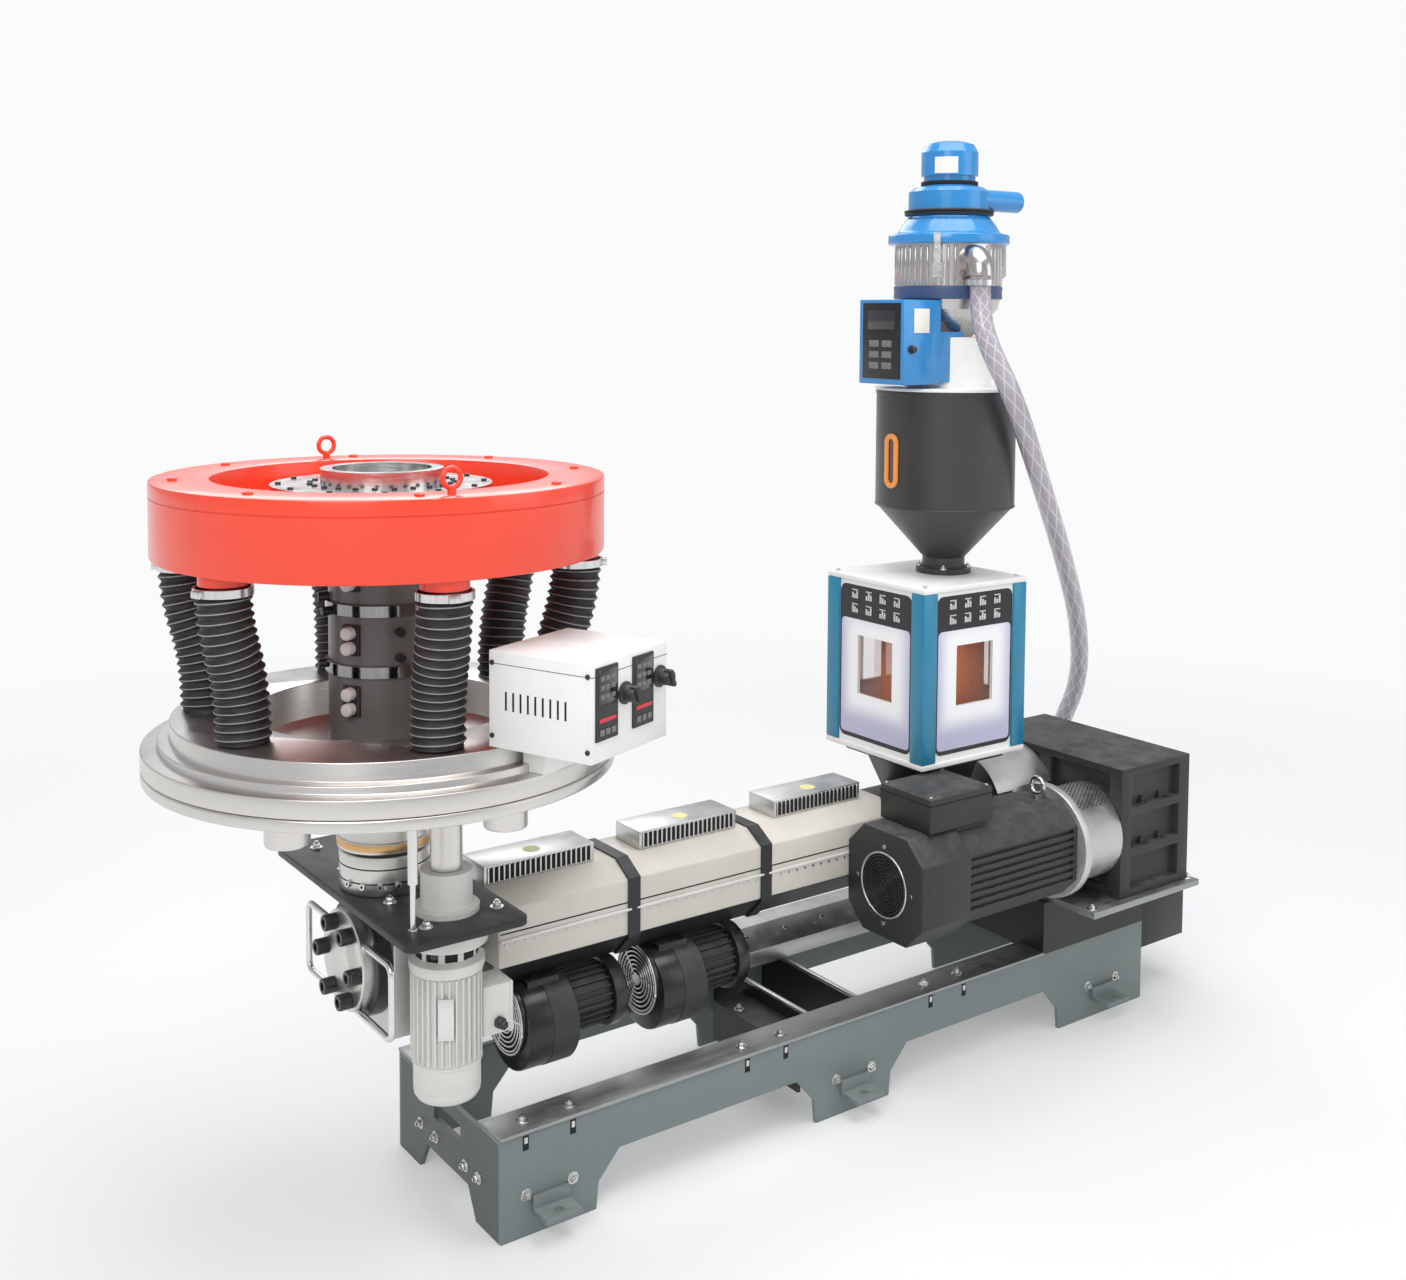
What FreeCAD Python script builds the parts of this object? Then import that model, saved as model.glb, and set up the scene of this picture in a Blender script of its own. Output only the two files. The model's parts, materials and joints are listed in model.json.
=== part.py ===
"""Blown-film extruder with a rotary die head.

Machine frame: X runs along the barrel from the die head to the gearbox, Y = 0 is the barrel's
centre line with the main motor on the -Y side, and Z = 0 is the floor. All sizes are in mm.
The finished solids are moved so that the origin is the bottom centre of the machine.
"""
import FreeCAD, Part
import math
import os

V = FreeCAD.Vector
X_AXIS = V(1, 0, 0)
Y_AXIS = V(0, 1, 0)
Z_AXIS = V(0, 0, 1)

# ---- base frame ---------------------------------------------------------------------------
frame_length = 1448.0
frame_half_width = 172.0
beam_height = 162.0
beam_web = 8.0
beam_flange = 62.0
rail_thickness = 5.0
arch_height = 84.0
foot_starts = (0.0, 600.0, 1205.0)
foot_ends = (165.0, 766.0, 1448.0)
foot_straight = 42.0
arch_slant = 38.0
end_plate = 8.0
end_cutout_width = 190.0
end_cutout_height = 46.0
end_slot = (90.0, 26.0)
lug_length = 62.0
lug_reach = 46.0
lug_wall = 8.0
lug_level = 34.0
lug_height = 26.0
lug_hole_r = 7.0
cross_plate = 8.0
cross_places = (632.0, 746.0)
cross_bottom = 60.0
angle_length = 66.0
angle_top = 130.0
angle_far = 76.0
angle_thickness = 6.0

# ---- riser, platform and rear box -----------------------------------------------------------
riser_start = 1158.0
riser_wall = 8.0
platform_bottom = 256.0
platform_thickness = 12.0
platform_start = 1172.0
platform_end = 1480.0
platform_near = -280.0
platform_far = 180.0
rear_box_length = 150.0
rear_box_half_width = 158.0
rear_box_bottom = 92.0
rear_box_top = 236.0

# ---- barrel ---------------------------------------------------------------------------------
axis_z = 410.0
barrel_r = 36.0
barrel_start = -8.0
cover_start = 44.0
cover_lengths = (242.0, 265.0, 293.0)
cover_gap = 3.0
cover_half_width = 86.0
cover_top_half = 47.0
cover_rise = 75.0
cover_side_rise = 52.0
cover_side_drop = 38.0
tray_drop = 78.0
bore_clearance = 0.3
strap_width = 22.0
strap_height = 3.0
vent_starts = (46.0, 331.0, 612.0)
vent_length = 198.0
vent_width = 72.0
vent_height = 31.0

# ---- blowers under the barrel ------------------------------------------------------------------
blower_r = 70.0
blower_drop = 14.0
blower_inlet_r = 58.0
blower_inlet_depth = 10.0
blower_count = 2
blower_depth = 90.0
blower_tray_gap = 4.0
blower_axis_z = axis_z - tray_drop - blower_tray_gap - blower_r + blower_drop
blower_y = -38.0
blower_motor_r = 50.0
blower_motor_length = 74.0
blower_end_r = 56.0
blower_end_length = 24.0
blower_neck = (56.0, 60.0)
blower_front_gap = 43.0

# ---- wire duct on the far beam ----------------------------------------------------------------
duct_start = 250.0
duct_end = 1120.0
duct_width = 78.0
duct_height = 62.0
duct_chamfer = 34.0

# ---- drive ----------------------------------------------------------------------------------------
motor_y = -181.0
motor_z = 384.0
motor_front = 740.0
fan_housing_length = 116.0
fan_housing_half = 94.0
fan_housing_chamfer = 40.0
motor_body_half = 84.0
motor_body_chamfer = 34.0
motor_body_length = 282.0
motor_fin_count = 7
motor_fin_depth = 5.0
motor_flange_r = 106.0
motor_flange_length = 18.0
coupling_r = 88.0
eye_setback = 16.0
eye_stem = 8.0
eye_foot_r = 9.0
eye_ring_r = 15.0
eye_rod_r = 4.0
terminal_box = (150.0, 126.0, 62.0)
terminal_box_x = 786.0
gearbox_start = 1262.0
gearbox_end = 1462.0
gearbox_near = -264.0
gearbox_far = 104.0
gearbox_top = 516.0
gearbox_rib = 30.0
gearbox_recess = 16.0
gearbox_cover = 14.0
split_levels = (345.0, 424.0)
split_thickness = 16.0
guard_r = 102.0
guard_start = 1112.0
guard_wall = 3.0
guard_near_rise = 44.0
guard_far_drop = 20.0

# ---- feed section ---------------------------------------------------------------------------------
feed_x = 1005.0
throat_length = 210.0
throat_top = 546.0
throat_flange = 14.0
window_half = 132.0
window_bottom = 546.0
window_top = 875.0
window_plate = 10.0
post_size = 34.0
panel_thickness = 5.0
panel_inset = 4.0
pane_thickness = 3.0
pane_overlap = 8.0
opening_size = (93.0, 111.0)
opening_low = 107.0
column_x = (943.0, 1089.0)
column_y = (-72.0, 55.0)
column_wall = 4.0
hopper_x = 1049.0
hopper_r = 131.0
hopper_wall = 3.0
hopper_rim_z = 1222.0
hopper_shoulder_z = 1006.0
hopper_cone_z = 905.0
hopper_neck_r = 40.0
hopper_flange_r = 52.0
hopper_flange_height = 10.0
hopper_lid_thickness = 6.0

# ---- vacuum loader -----------------------------------------------------------------------------------
loader_base_r = 84.0
loader_base_top = 1322.0
loader_bowl_r = 46.0
loader_cylinder_r = 99.0
loader_cylinder_bottom = 1400.0
loader_cylinder_top = 1494.0
loader_flange_r = 113.0
loader_flange_height = 18.0
loader_dome_top = 1548.0
loader_neck_r = 80.0
loader_housing_r = 76.0
loader_housing_top = 1600.0
loader_cap_r = 53.0
loader_cap_top = 1686.0
outlet_r = 20.0
outlet_length = 50.0
outlet_z = 1577.0
inlet_r = 25.0
inlet_z = 1466.0
inlet_angle_deg = 251.0
inlet_bend = 27.0
inlet_reach = 33.0
inlet_drop = 32.0
loader_box = (92.0, 118.0, 154.0)
loader_box_bottom = 1236.0
loader_box_y = -64.0
loader_bracket = (60.0, 14.0, 92.0)
loader_box_clearance = 3.0
latch_angles = (95.0, 215.0, 335.0)
latch_arm = 5.0
latch_hook = 4.0

# ---- suction hose --------------------------------------------------------------------------------------
hose_od = 38.0
coil_centre = (1800.0, 420.0)
coil_mean_r = 247.0
coil_layers = 2
coil_entry_deg = 165.0
lance_r = 20.0
lance_length = 340.0
lance_start = (1990.0, 735.0)

# ---- die head -------------------------------------------------------------------------------------------
die_x = -100.0
block_start = -126.0
block_end = -12.0
block_half_width = 87.0
block_top = 498.0
block_bottom = 312.0
plate_bottom = 502.0
plate_thickness = 12.0
plate_start = -178.0
plate_end = 11.0
plate_half_width = 243.0
plate_corner = 16.0
cap_r = 74.0
cap_thickness = 18.0
cap_ring_r = 86.0
cap_ring_thickness = 24.0
cap_bolt_circle = 57.0
cap_bolt_count = 6
cap_bolt_offset_deg = 4.0
cap_bolt_r = 12.0
cap_bolt_head = 20.0
handle_rod_r = 5.0
handle_span = 106.0
handle_half_width = 151.0
handle_drop = 14.0
handle_bend = 14.0
adaptor_r = 67.0
adaptor_top = 572.0
spigot_r = 34.0
slip_ring_height = 16.0
running_clearance = 0.08
face_gap = 1.0
base_disc_r = 341.0
base_disc_bottom = 700.0
base_disc_thickness = 17.0
stub_count = 6
stub_offset_deg = 40.0
stub_circle = 286.0
stub_r = 30.0
stub_length = 34.0
table_r = 341.0
table_rim_top = 744.0
table_mid_r = 318.0
table_mid_top = 755.0
table_step_r = 301.0
table_top = 781.0
well_r = 192.0
well_floor = 727.0
column_r = 79.0
column_band_r = 83.0
column_band_height = 18.0
column_band_levels = (838.0, 926.0)
die_flange_r = 160.0
die_flange_bottom = 1044.0
die_flange_top = 1104.0
lip_disc_thickness = 8.0
lip_r = 89.0
lip_bore_r = 72.0
lip_top = 1134.0
ring_r = 325.0
ring_inner_r = 242.0
ring_bottom = 1014.0
ring_top = 1124.0
ring_floor = 1086.0
eye_bolt_angles = (84.0, 264.0)
eye_bolt_circle = 284.0
eye_bolt_r = 13.0
eye_bolt_rod = 3.6
air_hose_angles = (19.0, 82.0, 150.0, 199.0, 262.0, 330.0)
air_hose_r = 38.0
air_hose_low_circle = 254.0
air_hose_high_circle = 284.0
air_hose_knee = 912.0
air_hose_bend = 180.0
air_hose_collar = 24.0
air_stub_r = 33.0
air_stub_height = 14.0
box_centre = (126.4, -346.0)
box_turn_deg = 22.3
box_depth = 168.0
box_width = 174.0
box_bottom = 786.0
box_height = 130.0
box_tray = 5.0
box_tray_width = 80.0

# ---- table drive ----------------------------------------------------------------------------------------
gear_module = 3.8
gear_teeth = 64
pinion_teeth = 16
gear_bottom = 655.0
gear_face = 26.0
gear_root_gap = 1.2
drive_angle_deg = -80.0
shaft_r = 23.0
journal_r = 17.0
bearing_r = 37.0
bearing_height = 60.0
bearing_flange_r = 47.0
bearing_flange_height = 10.0
drive_flange_r = 59.0
drive_flange_height = 34.0
drive_neck_r = 44.0
drive_body_r = 52.0
drive_body_top = 424.0
drive_body_bottom = 298.0
drive_fan_r = 48.0
drive_fan_bottom = 243.0
drive_box = (46.0, 52.0, 74.0)
tie_rod_r = 4.0
tie_cylinder_r = 7.0
tie_place = (-152.0, -206.0)


def box(x0, x1, y0, y1, z0, z1):
    """Block between two corners."""
    return Part.makeBox(x1 - x0, y1 - y0, z1 - z0, V(x0, y0, z0))


def rod(start, end, radius):
    """Round bar from one point to another."""
    direction = V(*end) - V(*start)
    return Part.makeCylinder(radius, direction.Length, V(*start), direction)


def pillar(x, y, z0, z1, radius):
    """Upright round bar."""
    return Part.makeCylinder(radius, z1 - z0, V(x, y, z0))


def ring(x, y, z0, z1, outer, inner):
    """Upright tube."""
    return pillar(x, y, z0, z1, outer).cut(pillar(x, y, z0 - 1, z1 + 1, inner))


def prism(points, direction):
    """Flat outline pushed along a direction."""
    corners = [V(*point) for point in points]
    return Part.Face(Part.makePolygon(corners + [corners[0]])).extrude(direction)


def octagon(half_y, half_z, flat_y, flat_z):
    """Corners of an upright octagon, as (y, z) pairs about its centre."""
    return [(-flat_y, half_z), (flat_y, half_z), (half_y, flat_z), (half_y, -flat_z),
            (flat_y, -half_z), (-flat_y, -half_z), (-half_y, -flat_z), (-half_y, flat_z)]


def octagon_bar(x0, x1, centre_y, centre_z, outline):
    """Bar along X with an octagonal section."""
    points = [(x0, centre_y + y, centre_z + z) for y, z in outline]
    return prism(points, V(x1 - x0, 0, 0))


def polar(radius, degrees, z=0.0):
    """Point round the die axis."""
    angle = math.radians(degrees)
    return (die_x + radius * math.cos(angle), radius * math.sin(angle), z)


def hopper_polar(radius, degrees, z):
    """Point round the hopper's axis."""
    angle = math.radians(degrees)
    return (hopper_x + radius * math.cos(angle), radius * math.sin(angle), z)


def bent_tube(points, bends, radius):
    """Tube along straight runs joined by tangent arcs, with the length of its route."""
    corners = [V(*point) for point in points]
    edges = []
    start = corners[0]
    length = 0.0
    for index in range(1, len(corners) - 1):
        before, corner, after = corners[index - 1], corners[index], corners[index + 1]
        run_in = (before - corner).normalize()
        run_out = (after - corner).normalize()
        turn = math.pi - run_in.getAngle(run_out)
        bend = bends[index - 1]
        setback = bend * math.tan(turn / 2)
        arc_start = corner + run_in * setback
        arc_end = corner + run_out * setback
        inward = (run_in + run_out).normalize()
        middle = corner + inward * (bend / math.cos(turn / 2) - bend)
        edges.append(Part.LineSegment(start, arc_start).toShape())
        edges.append(Part.Arc(arc_start, middle, arc_end).toShape())
        length += (arc_start - start).Length + bend * turn
        start = arc_end
    edges.append(Part.LineSegment(start, corners[-1]).toShape())
    length += (corners[-1] - start).Length
    path = Part.Wire(edges)
    circle = Part.makeCircle(radius, corners[0], corners[1] - corners[0])
    return path.makePipeShell([Part.Wire([circle])], True, False), length


def widest_bends(points):
    """Bend radii as large as the two runs beside each point allow."""
    radii = []
    for index in range(1, len(points) - 1):
        run_in = V(*points[index]) - V(*points[index - 1])
        run_out = V(*points[index + 1]) - V(*points[index])
        turn = run_in.getAngle(run_out)
        radii.append(0.45 * min(run_in.Length, run_out.Length) / math.tan(turn / 2))
    return radii


# ---- base frame -----------------------------------------------------------------------------
def side_beam(side):
    """Channel with three feet: a web with arches cut between them and an inward top flange."""
    outline = [(0, 0)]
    for index in range(len(foot_starts) - 1):
        end, start = foot_ends[index], foot_starts[index + 1]
        outline += [(end, 0), (end + 4, foot_straight), (end + 4 + arch_slant, arch_height)]
        outline += [(start - 4 - arch_slant, arch_height), (start - 4, foot_straight), (start, 0)]
    outline += [(frame_length, 0), (frame_length, beam_height - rail_thickness)]
    outline += [(0, beam_height - rail_thickness)]
    outer = side * frame_half_width
    web = prism([(x, outer, z) for x, z in outline], V(0, -side * beam_web, 0))
    inner = side * (frame_half_width - beam_flange)
    top = beam_height - rail_thickness
    return web.fuse(box(0, frame_length, min(outer, inner), max(outer, inner), top - beam_web, top))


def rail_plates():
    """Galvanised strip on each beam's top flange, up to the riser."""
    solids = []
    for side in (-1, 1):
        outer = side * (frame_half_width + 3)
        inner = side * (frame_half_width - beam_flange)
        solids.append(box(0, riser_start, min(outer, inner), max(outer, inner),
                          beam_height - rail_thickness, beam_height))
    return Part.makeCompound(solids)


def end_plates():
    """Front and rear plates between the webs, with a cut-out that leaves two feet."""
    half = frame_half_width - beam_web
    top = beam_height - rail_thickness - beam_web
    wide = end_cutout_width / 2
    slope = end_cutout_height * 0.55
    solids = []
    for x in (0.0, frame_length - end_plate):
        outline = [(-half, 0), (-wide, 0), (-wide + slope, end_cutout_height)]
        outline += [(wide - slope, end_cutout_height), (wide, 0), (half, 0), (half, top), (-half, top)]
        plate = prism([(x, y, z) for y, z in outline], V(end_plate, 0, 0))
        slot = box(x - 1, x + end_plate + 1, -end_slot[0] / 2, end_slot[0] / 2,
                   top - 22 - end_slot[1], top - 22)
        solids.append(plate.cut(slot))
    return Part.makeCompound(solids)


def cross_members():
    """Two upright plates that tie the side beams, and a folded angle before the first of them."""
    half = frame_half_width - beam_web
    top = beam_height - rail_thickness - beam_web
    first = cross_places[0]
    x0 = first - angle_length
    angle = box(x0, first, -half, angle_far, cross_bottom, angle_top)
    hollow = box(x0 + angle_thickness, first, -half - 1, angle_far + 1, cross_bottom - 1,
                 angle_top - angle_thickness)
    plates = [box(x, x + cross_plate, -half, half, cross_bottom, top) for x in cross_places]
    return Part.makeCompound([plates[0].fuse(angle.cut(hollow)), plates[1]])


def foot_lugs():
    """Angle lug with an anchor hole on the outside of every foot."""
    solids = []
    for side in (-1, 1):
        face = side * frame_half_width
        reach = side * (frame_half_width + lug_reach)
        wall = side * (frame_half_width + lug_wall)
        for start, end in zip(foot_starts, foot_ends):
            middle = (start + end) / 2
            x0, x1 = middle - lug_length / 2, middle + lug_length / 2
            shelf = box(x0, x1, min(face, reach), max(face, reach), lug_level, lug_level + lug_wall)
            back = box(x0, x1, min(face, wall), max(face, wall), lug_level, lug_level + lug_height)
            hole_y = side * (frame_half_width + lug_reach * 0.58)
            hole = pillar(middle, hole_y, lug_level - 1, lug_level + lug_wall + 1, lug_hole_r)
            solids.append(shelf.fuse(back).cut(hole).removeSplitter())
    return Part.makeCompound(solids)


def riser_walls():
    """Open box that carries the platform above the beams, with its near and far walls flush."""
    outer = box(riser_start, frame_length, -frame_half_width, frame_half_width,
                beam_height - rail_thickness, platform_bottom)
    inner = box(riser_start + riser_wall, frame_length - riser_wall, -frame_half_width + riser_wall,
                frame_half_width - riser_wall, beam_height - rail_thickness - 1, platform_bottom + 1)
    return outer.cut(inner)


def rear_box():
    """Closed sheet box behind the frame's rear end."""
    return box(frame_length, frame_length + rear_box_length, -rear_box_half_width,
               rear_box_half_width, rear_box_bottom, rear_box_top)


# ---- barrel --------------------------------------------------------------------------------
cover_outline = [(-cover_half_width, -cover_side_drop), (-cover_half_width, cover_side_rise),
                 (-cover_top_half, cover_rise), (cover_top_half, cover_rise),
                 (cover_half_width, cover_side_rise), (cover_half_width, -cover_side_drop)]
tray_outline = [(cover_half_width, -cover_side_drop), (cover_top_half, -tray_drop),
                (-cover_top_half, -tray_drop), (-cover_half_width, -cover_side_drop)]
cover_starts = [cover_start]
for length in cover_lengths:
    cover_starts.append(cover_starts[-1] + length + cover_gap)
cover_end = cover_starts[-1] - cover_gap


def grow(outline, amount):
    """Outline with every corner pushed outwards in y and z."""
    return [(y + math.copysign(amount, y), z + math.copysign(amount, z)) for y, z in outline]


def axis_bar(x0, x1, outline):
    """Bar along the barrel's axis with the given (y, z) outline about it."""
    return prism([(x0, y, axis_z + z) for y, z in outline], V(x1 - x0, 0, 0))


def barrel_bore(x0, x1):
    """Hole that lets the barrel through with a little room."""
    return rod((x0, 0, axis_z), (x1, 0, axis_z), barrel_r + bore_clearance)


def barrel():
    """Heated barrel from the flow block to the gearbox, with its clamp flange at the front."""
    tube = rod((barrel_start, 0, axis_z), (gearbox_start, 0, axis_z), barrel_r)
    return tube.fuse(rod((block_end, 0, axis_z), (block_end + 36, 0, axis_z), 64))


def barrel_covers():
    """Three zone covers over the barrel, with sloped shoulders and open below."""
    solids = []
    for start, length in zip(cover_starts, cover_lengths):
        shell = axis_bar(start, start + length, cover_outline)
        solids.append(shell.cut(barrel_bore(start - 1, start + length + 1)))
    return Part.makeCompound(solids)


def barrel_tray():
    """Black tray with sloped sides along the underside of the covers."""
    return axis_bar(cover_start, cover_end, tray_outline).cut(barrel_bore(cover_start - 1, cover_end + 1))


def cover_straps():
    """Black band over each joint between two covers."""
    solids = []
    whole = cover_outline + tray_outline[1:3]
    for start in cover_starts[1:-1]:
        middle = start - cover_gap / 2
        outer = axis_bar(middle - strap_width / 2, middle + strap_width / 2, grow(whole, strap_height))
        inner = axis_bar(middle - strap_width, middle + strap_width, whole)
        solids.append(outer.cut(inner))
    return Part.makeCompound(solids)


def vent_boxes():
    """Finned outlet box on top of each cover."""
    top = axis_z + cover_rise
    return Part.makeCompound([box(x0, x0 + vent_length, -vent_width / 2, vent_width / 2,
                                  top, top + vent_height) for x0 in vent_starts])


def blowers():
    """Centrifugal blower under each cover: round casing, outlet neck, motor and end ring."""
    solids = []
    neck_top = axis_z - tray_drop
    casing_z = blower_axis_z - blower_drop
    for start in cover_starts[:blower_count]:
        x0 = start + blower_front_gap
        x1 = x0 + blower_depth
        x2 = x1 + blower_motor_length
        x3 = x2 + blower_end_length
        casing = rod((x0, blower_y, casing_z), (x1, blower_y, casing_z), blower_r)
        inlet = rod((x0 - blower_inlet_depth, blower_y, blower_axis_z), (x0, blower_y, blower_axis_z),
                    blower_inlet_r)
        neck_x = (x0 + x1) / 2
        neck = box(neck_x - blower_neck[0] / 2, neck_x + blower_neck[0] / 2, blower_y - blower_neck[1] / 2,
                   blower_y + blower_neck[1] / 2, blower_axis_z, neck_top)
        motor = rod((x1, blower_y, blower_axis_z), (x2, blower_y, blower_axis_z), blower_motor_r)
        end = rod((x2, blower_y, blower_axis_z), (x3, blower_y, blower_axis_z), blower_end_r)
        solids.append(casing.fuse([inlet, neck, motor, end]).removeSplitter())
    return Part.makeCompound(solids)


def wire_duct():
    """Bright duct with a sloped near side, standing on the far rail."""
    far = frame_half_width - 4
    near = far - duct_width
    bottom, top = beam_height, beam_height + duct_height
    outline = [(near, bottom), (far, bottom), (far, top), (near + duct_chamfer, top),
               (near, top - duct_chamfer)]
    return prism([(duct_start, y, z) for y, z in outline], V(duct_end - duct_start, 0, 0))


# ---- drive -----------------------------------------------------------------------------------
def motor_octagon(half, chamfer):
    """Square section with cut corners."""
    return octagon(half, half, half - chamfer, half - chamfer)


def motor_fan_housing():
    """Cut-cornered housing of the motor's cooling fan."""
    return octagon_bar(motor_front, motor_front + fan_housing_length, motor_y, motor_z,
                       motor_octagon(fan_housing_half, fan_housing_chamfer))


def motor_body():
    """Finned motor casing."""
    x0 = motor_front + fan_housing_length
    x1 = x0 + motor_body_length
    body = octagon_bar(x0, x1, motor_y, motor_z, motor_octagon(motor_body_half, motor_body_chamfer))
    pitch = 2 * (motor_body_half - motor_body_chamfer) / motor_fin_count
    grooves = []
    for index in range(motor_fin_count):
        z0 = motor_z - motor_body_half + motor_body_chamfer + (index + 0.25) * pitch
        for side in (-1, 1):
            edge = motor_y + side * motor_body_half
            inner = edge - side * motor_fin_depth
            grooves.append(box(x0 + 6, x1 - 10, min(edge, inner), max(edge, inner), z0, z0 + pitch / 2))
    return body.cut(grooves)


def motor_terminal_box():
    """Terminal box on top of the motor."""
    length, width, height = terminal_box
    z0 = motor_z + fan_housing_half
    top = box(terminal_box_x, terminal_box_x + length, motor_y - width / 2, motor_y + width / 2,
              z0, z0 + height)
    stand = box(motor_front + fan_housing_length, terminal_box_x + length - 6, motor_y - width / 2 + 8,
                motor_y + width / 2 - 8, motor_z + motor_body_half, z0)
    return top.fuse(stand).removeSplitter()


motor_end = motor_front + fan_housing_length + motor_body_length


def coupling_housing():
    """Motor flange ring and the round housing of the coupling, up to the gearbox."""
    flange = rod((motor_end, motor_y, motor_z), (motor_end + motor_flange_length, motor_y, motor_z),
                 motor_flange_r)
    housing = rod((motor_end, motor_y, motor_z), (gearbox_start, motor_y, motor_z), coupling_r)
    return flange.fuse(housing)


def motor_eye():
    """Lifting eye on top of the motor's rear end."""
    x = motor_end - eye_setback
    z = motor_z + motor_body_half
    stem = pillar(x, motor_y, z, z + eye_stem, eye_foot_r)
    eye = Part.makeTorus(eye_ring_r, eye_rod_r, V(x, motor_y, z + eye_stem + eye_ring_r), X_AXIS)
    return stem.fuse(eye)


def gearbox():
    """Cast housing with upright corner ribs, a top cover and two bolted split flanges."""
    bottom = platform_bottom + platform_thickness
    core = box(gearbox_start + gearbox_recess, gearbox_end - gearbox_recess, gearbox_near + gearbox_recess,
               gearbox_far - gearbox_recess, bottom, gearbox_top)
    pieces = [box(gearbox_start, gearbox_end, gearbox_near, gearbox_far, gearbox_top - gearbox_cover,
                  gearbox_top),
              box(gearbox_start, gearbox_end, gearbox_near, gearbox_far, bottom, bottom + gearbox_cover)]
    for level in split_levels:
        pieces.append(box(gearbox_start, gearbox_end, gearbox_near, gearbox_far,
                          level, level + split_thickness))
    for x0 in (gearbox_start, gearbox_end - gearbox_rib):
        for y0 in (gearbox_near, motor_y + coupling_r + 3, gearbox_far - gearbox_rib):
            pieces.append(box(x0, x0 + gearbox_rib, y0, y0 + gearbox_rib, bottom, gearbox_top))
    pieces.append(rod((gearbox_start, motor_y, motor_z), (gearbox_start + gearbox_recess + 4, motor_y, motor_z),
                      coupling_r))
    return core.fuse(pieces).removeSplitter()


def thrust_guard():
    """Curved bright guard over the screw's drive end, open below and beside the motor."""
    x0, x1 = guard_start, gearbox_start
    shell = rod((x0, 0, axis_z), (x1, 0, axis_z), guard_r)
    shell = shell.cut(rod((x0 + guard_wall, 0, axis_z), (x1 + 1, 0, axis_z), guard_r - guard_wall))
    shell = shell.cut(barrel_bore(x0 - 1, x1))
    low = axis_z - guard_r - 1
    near = box(x0 - 1, x1 + 1, -guard_r - 1, 0, low, axis_z + guard_near_rise)
    far = box(x0 - 1, x1 + 1, -1, guard_r + 1, low, axis_z - guard_far_drop)
    return shell.cut([near, far]).removeSplitter()


# ---- feed section ---------------------------------------------------------------------------
def feed_throat():
    """Cooled feed casting: flange under the window box, tapering to a block on the barrel."""
    half = throat_length / 2
    low = axis_z + cover_side_rise
    flange = box(feed_x - half, feed_x + half, -half, half, throat_top - throat_flange, throat_top)
    top = [(feed_x - half + 14, throat_top - throat_flange), (feed_x + half - 14, throat_top - throat_flange),
           (feed_x + 52, low), (feed_x - 52, low)]
    wedge = prism([(x, -62, z) for x, z in top], V(0, 124, 0))
    start = cover_starts[-1]
    block = box(start, feed_x + 70, -62, 62, axis_z - 62, low)
    body = flange.fuse([wedge, block])
    return body.cut(barrel_bore(start - 1, feed_x + 90)).removeSplitter()


def window_box_plates():
    """Floor and roof plates of the window box."""
    low = box(feed_x - window_half, feed_x + window_half, -window_half, window_half,
              window_bottom, window_bottom + window_plate)
    high = box(feed_x - window_half, feed_x + window_half, -window_half, window_half,
               window_top - window_plate, window_top)
    drop = pillar(feed_x, 0, window_bottom - 1, window_bottom + window_plate + 1, 30)
    feed = pillar(hopper_x, 0, window_top - window_plate - 1, window_top + 1, hopper_neck_r - hopper_wall)
    return Part.makeCompound([low.cut(drop), high.cut(feed)])


def window_box_posts():
    """Four corner posts between the plates."""
    solids = []
    for x in (feed_x - window_half, feed_x + window_half - post_size):
        for y in (-window_half, window_half - post_size):
            solids.append(box(x, x + post_size, y, y + post_size,
                              window_bottom + window_plate, window_top - window_plate))
    return Part.makeCompound(solids)


def four_sides(piece):
    """The piece repeated on the window box's four sides."""
    solids = []
    for turn in range(4):
        copy = piece.copy()
        copy.rotate(V(0, 0, 0), Z_AXIS, 90 * turn)
        copy.translate(V(feed_x, 0, 0))
        solids.append(copy)
    return Part.makeCompound(solids)


def window_panels():
    """Four side panels between the posts, each with a rectangular window."""
    z0, z1 = window_bottom + window_plate, window_top - window_plate
    low = window_bottom + opening_low
    half = window_half - post_size
    outer = window_half - panel_inset
    panel = box(-outer, -outer + panel_thickness, -half, half, z0, z1)
    hole = box(-outer - 1, -outer + panel_thickness + 1, -opening_size[0] / 2, opening_size[0] / 2,
               low, low + opening_size[1])
    return four_sides(panel.cut(hole))


def window_panes():
    """Clear pane behind each panel's window."""
    low = window_bottom + opening_low - pane_overlap
    high = low + opening_size[1] + 2 * pane_overlap
    half = opening_size[0] / 2 + pane_overlap
    outer = window_half - panel_inset - panel_thickness
    return four_sides(box(-outer, -outer + pane_thickness, -half, half, low, high))


def feed_column():
    """Orange square duct inside the window box that leads the pellets down."""
    z0, z1 = window_bottom + window_plate, window_top - window_plate
    duct = box(column_x[0], column_x[1], column_y[0], column_y[1], z0, z1)
    return duct.cut(box(column_x[0] + column_wall, column_x[1] - column_wall,
                        column_y[0] + column_wall, column_y[1] - column_wall, z0 - 1, z1 + 1))


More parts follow.
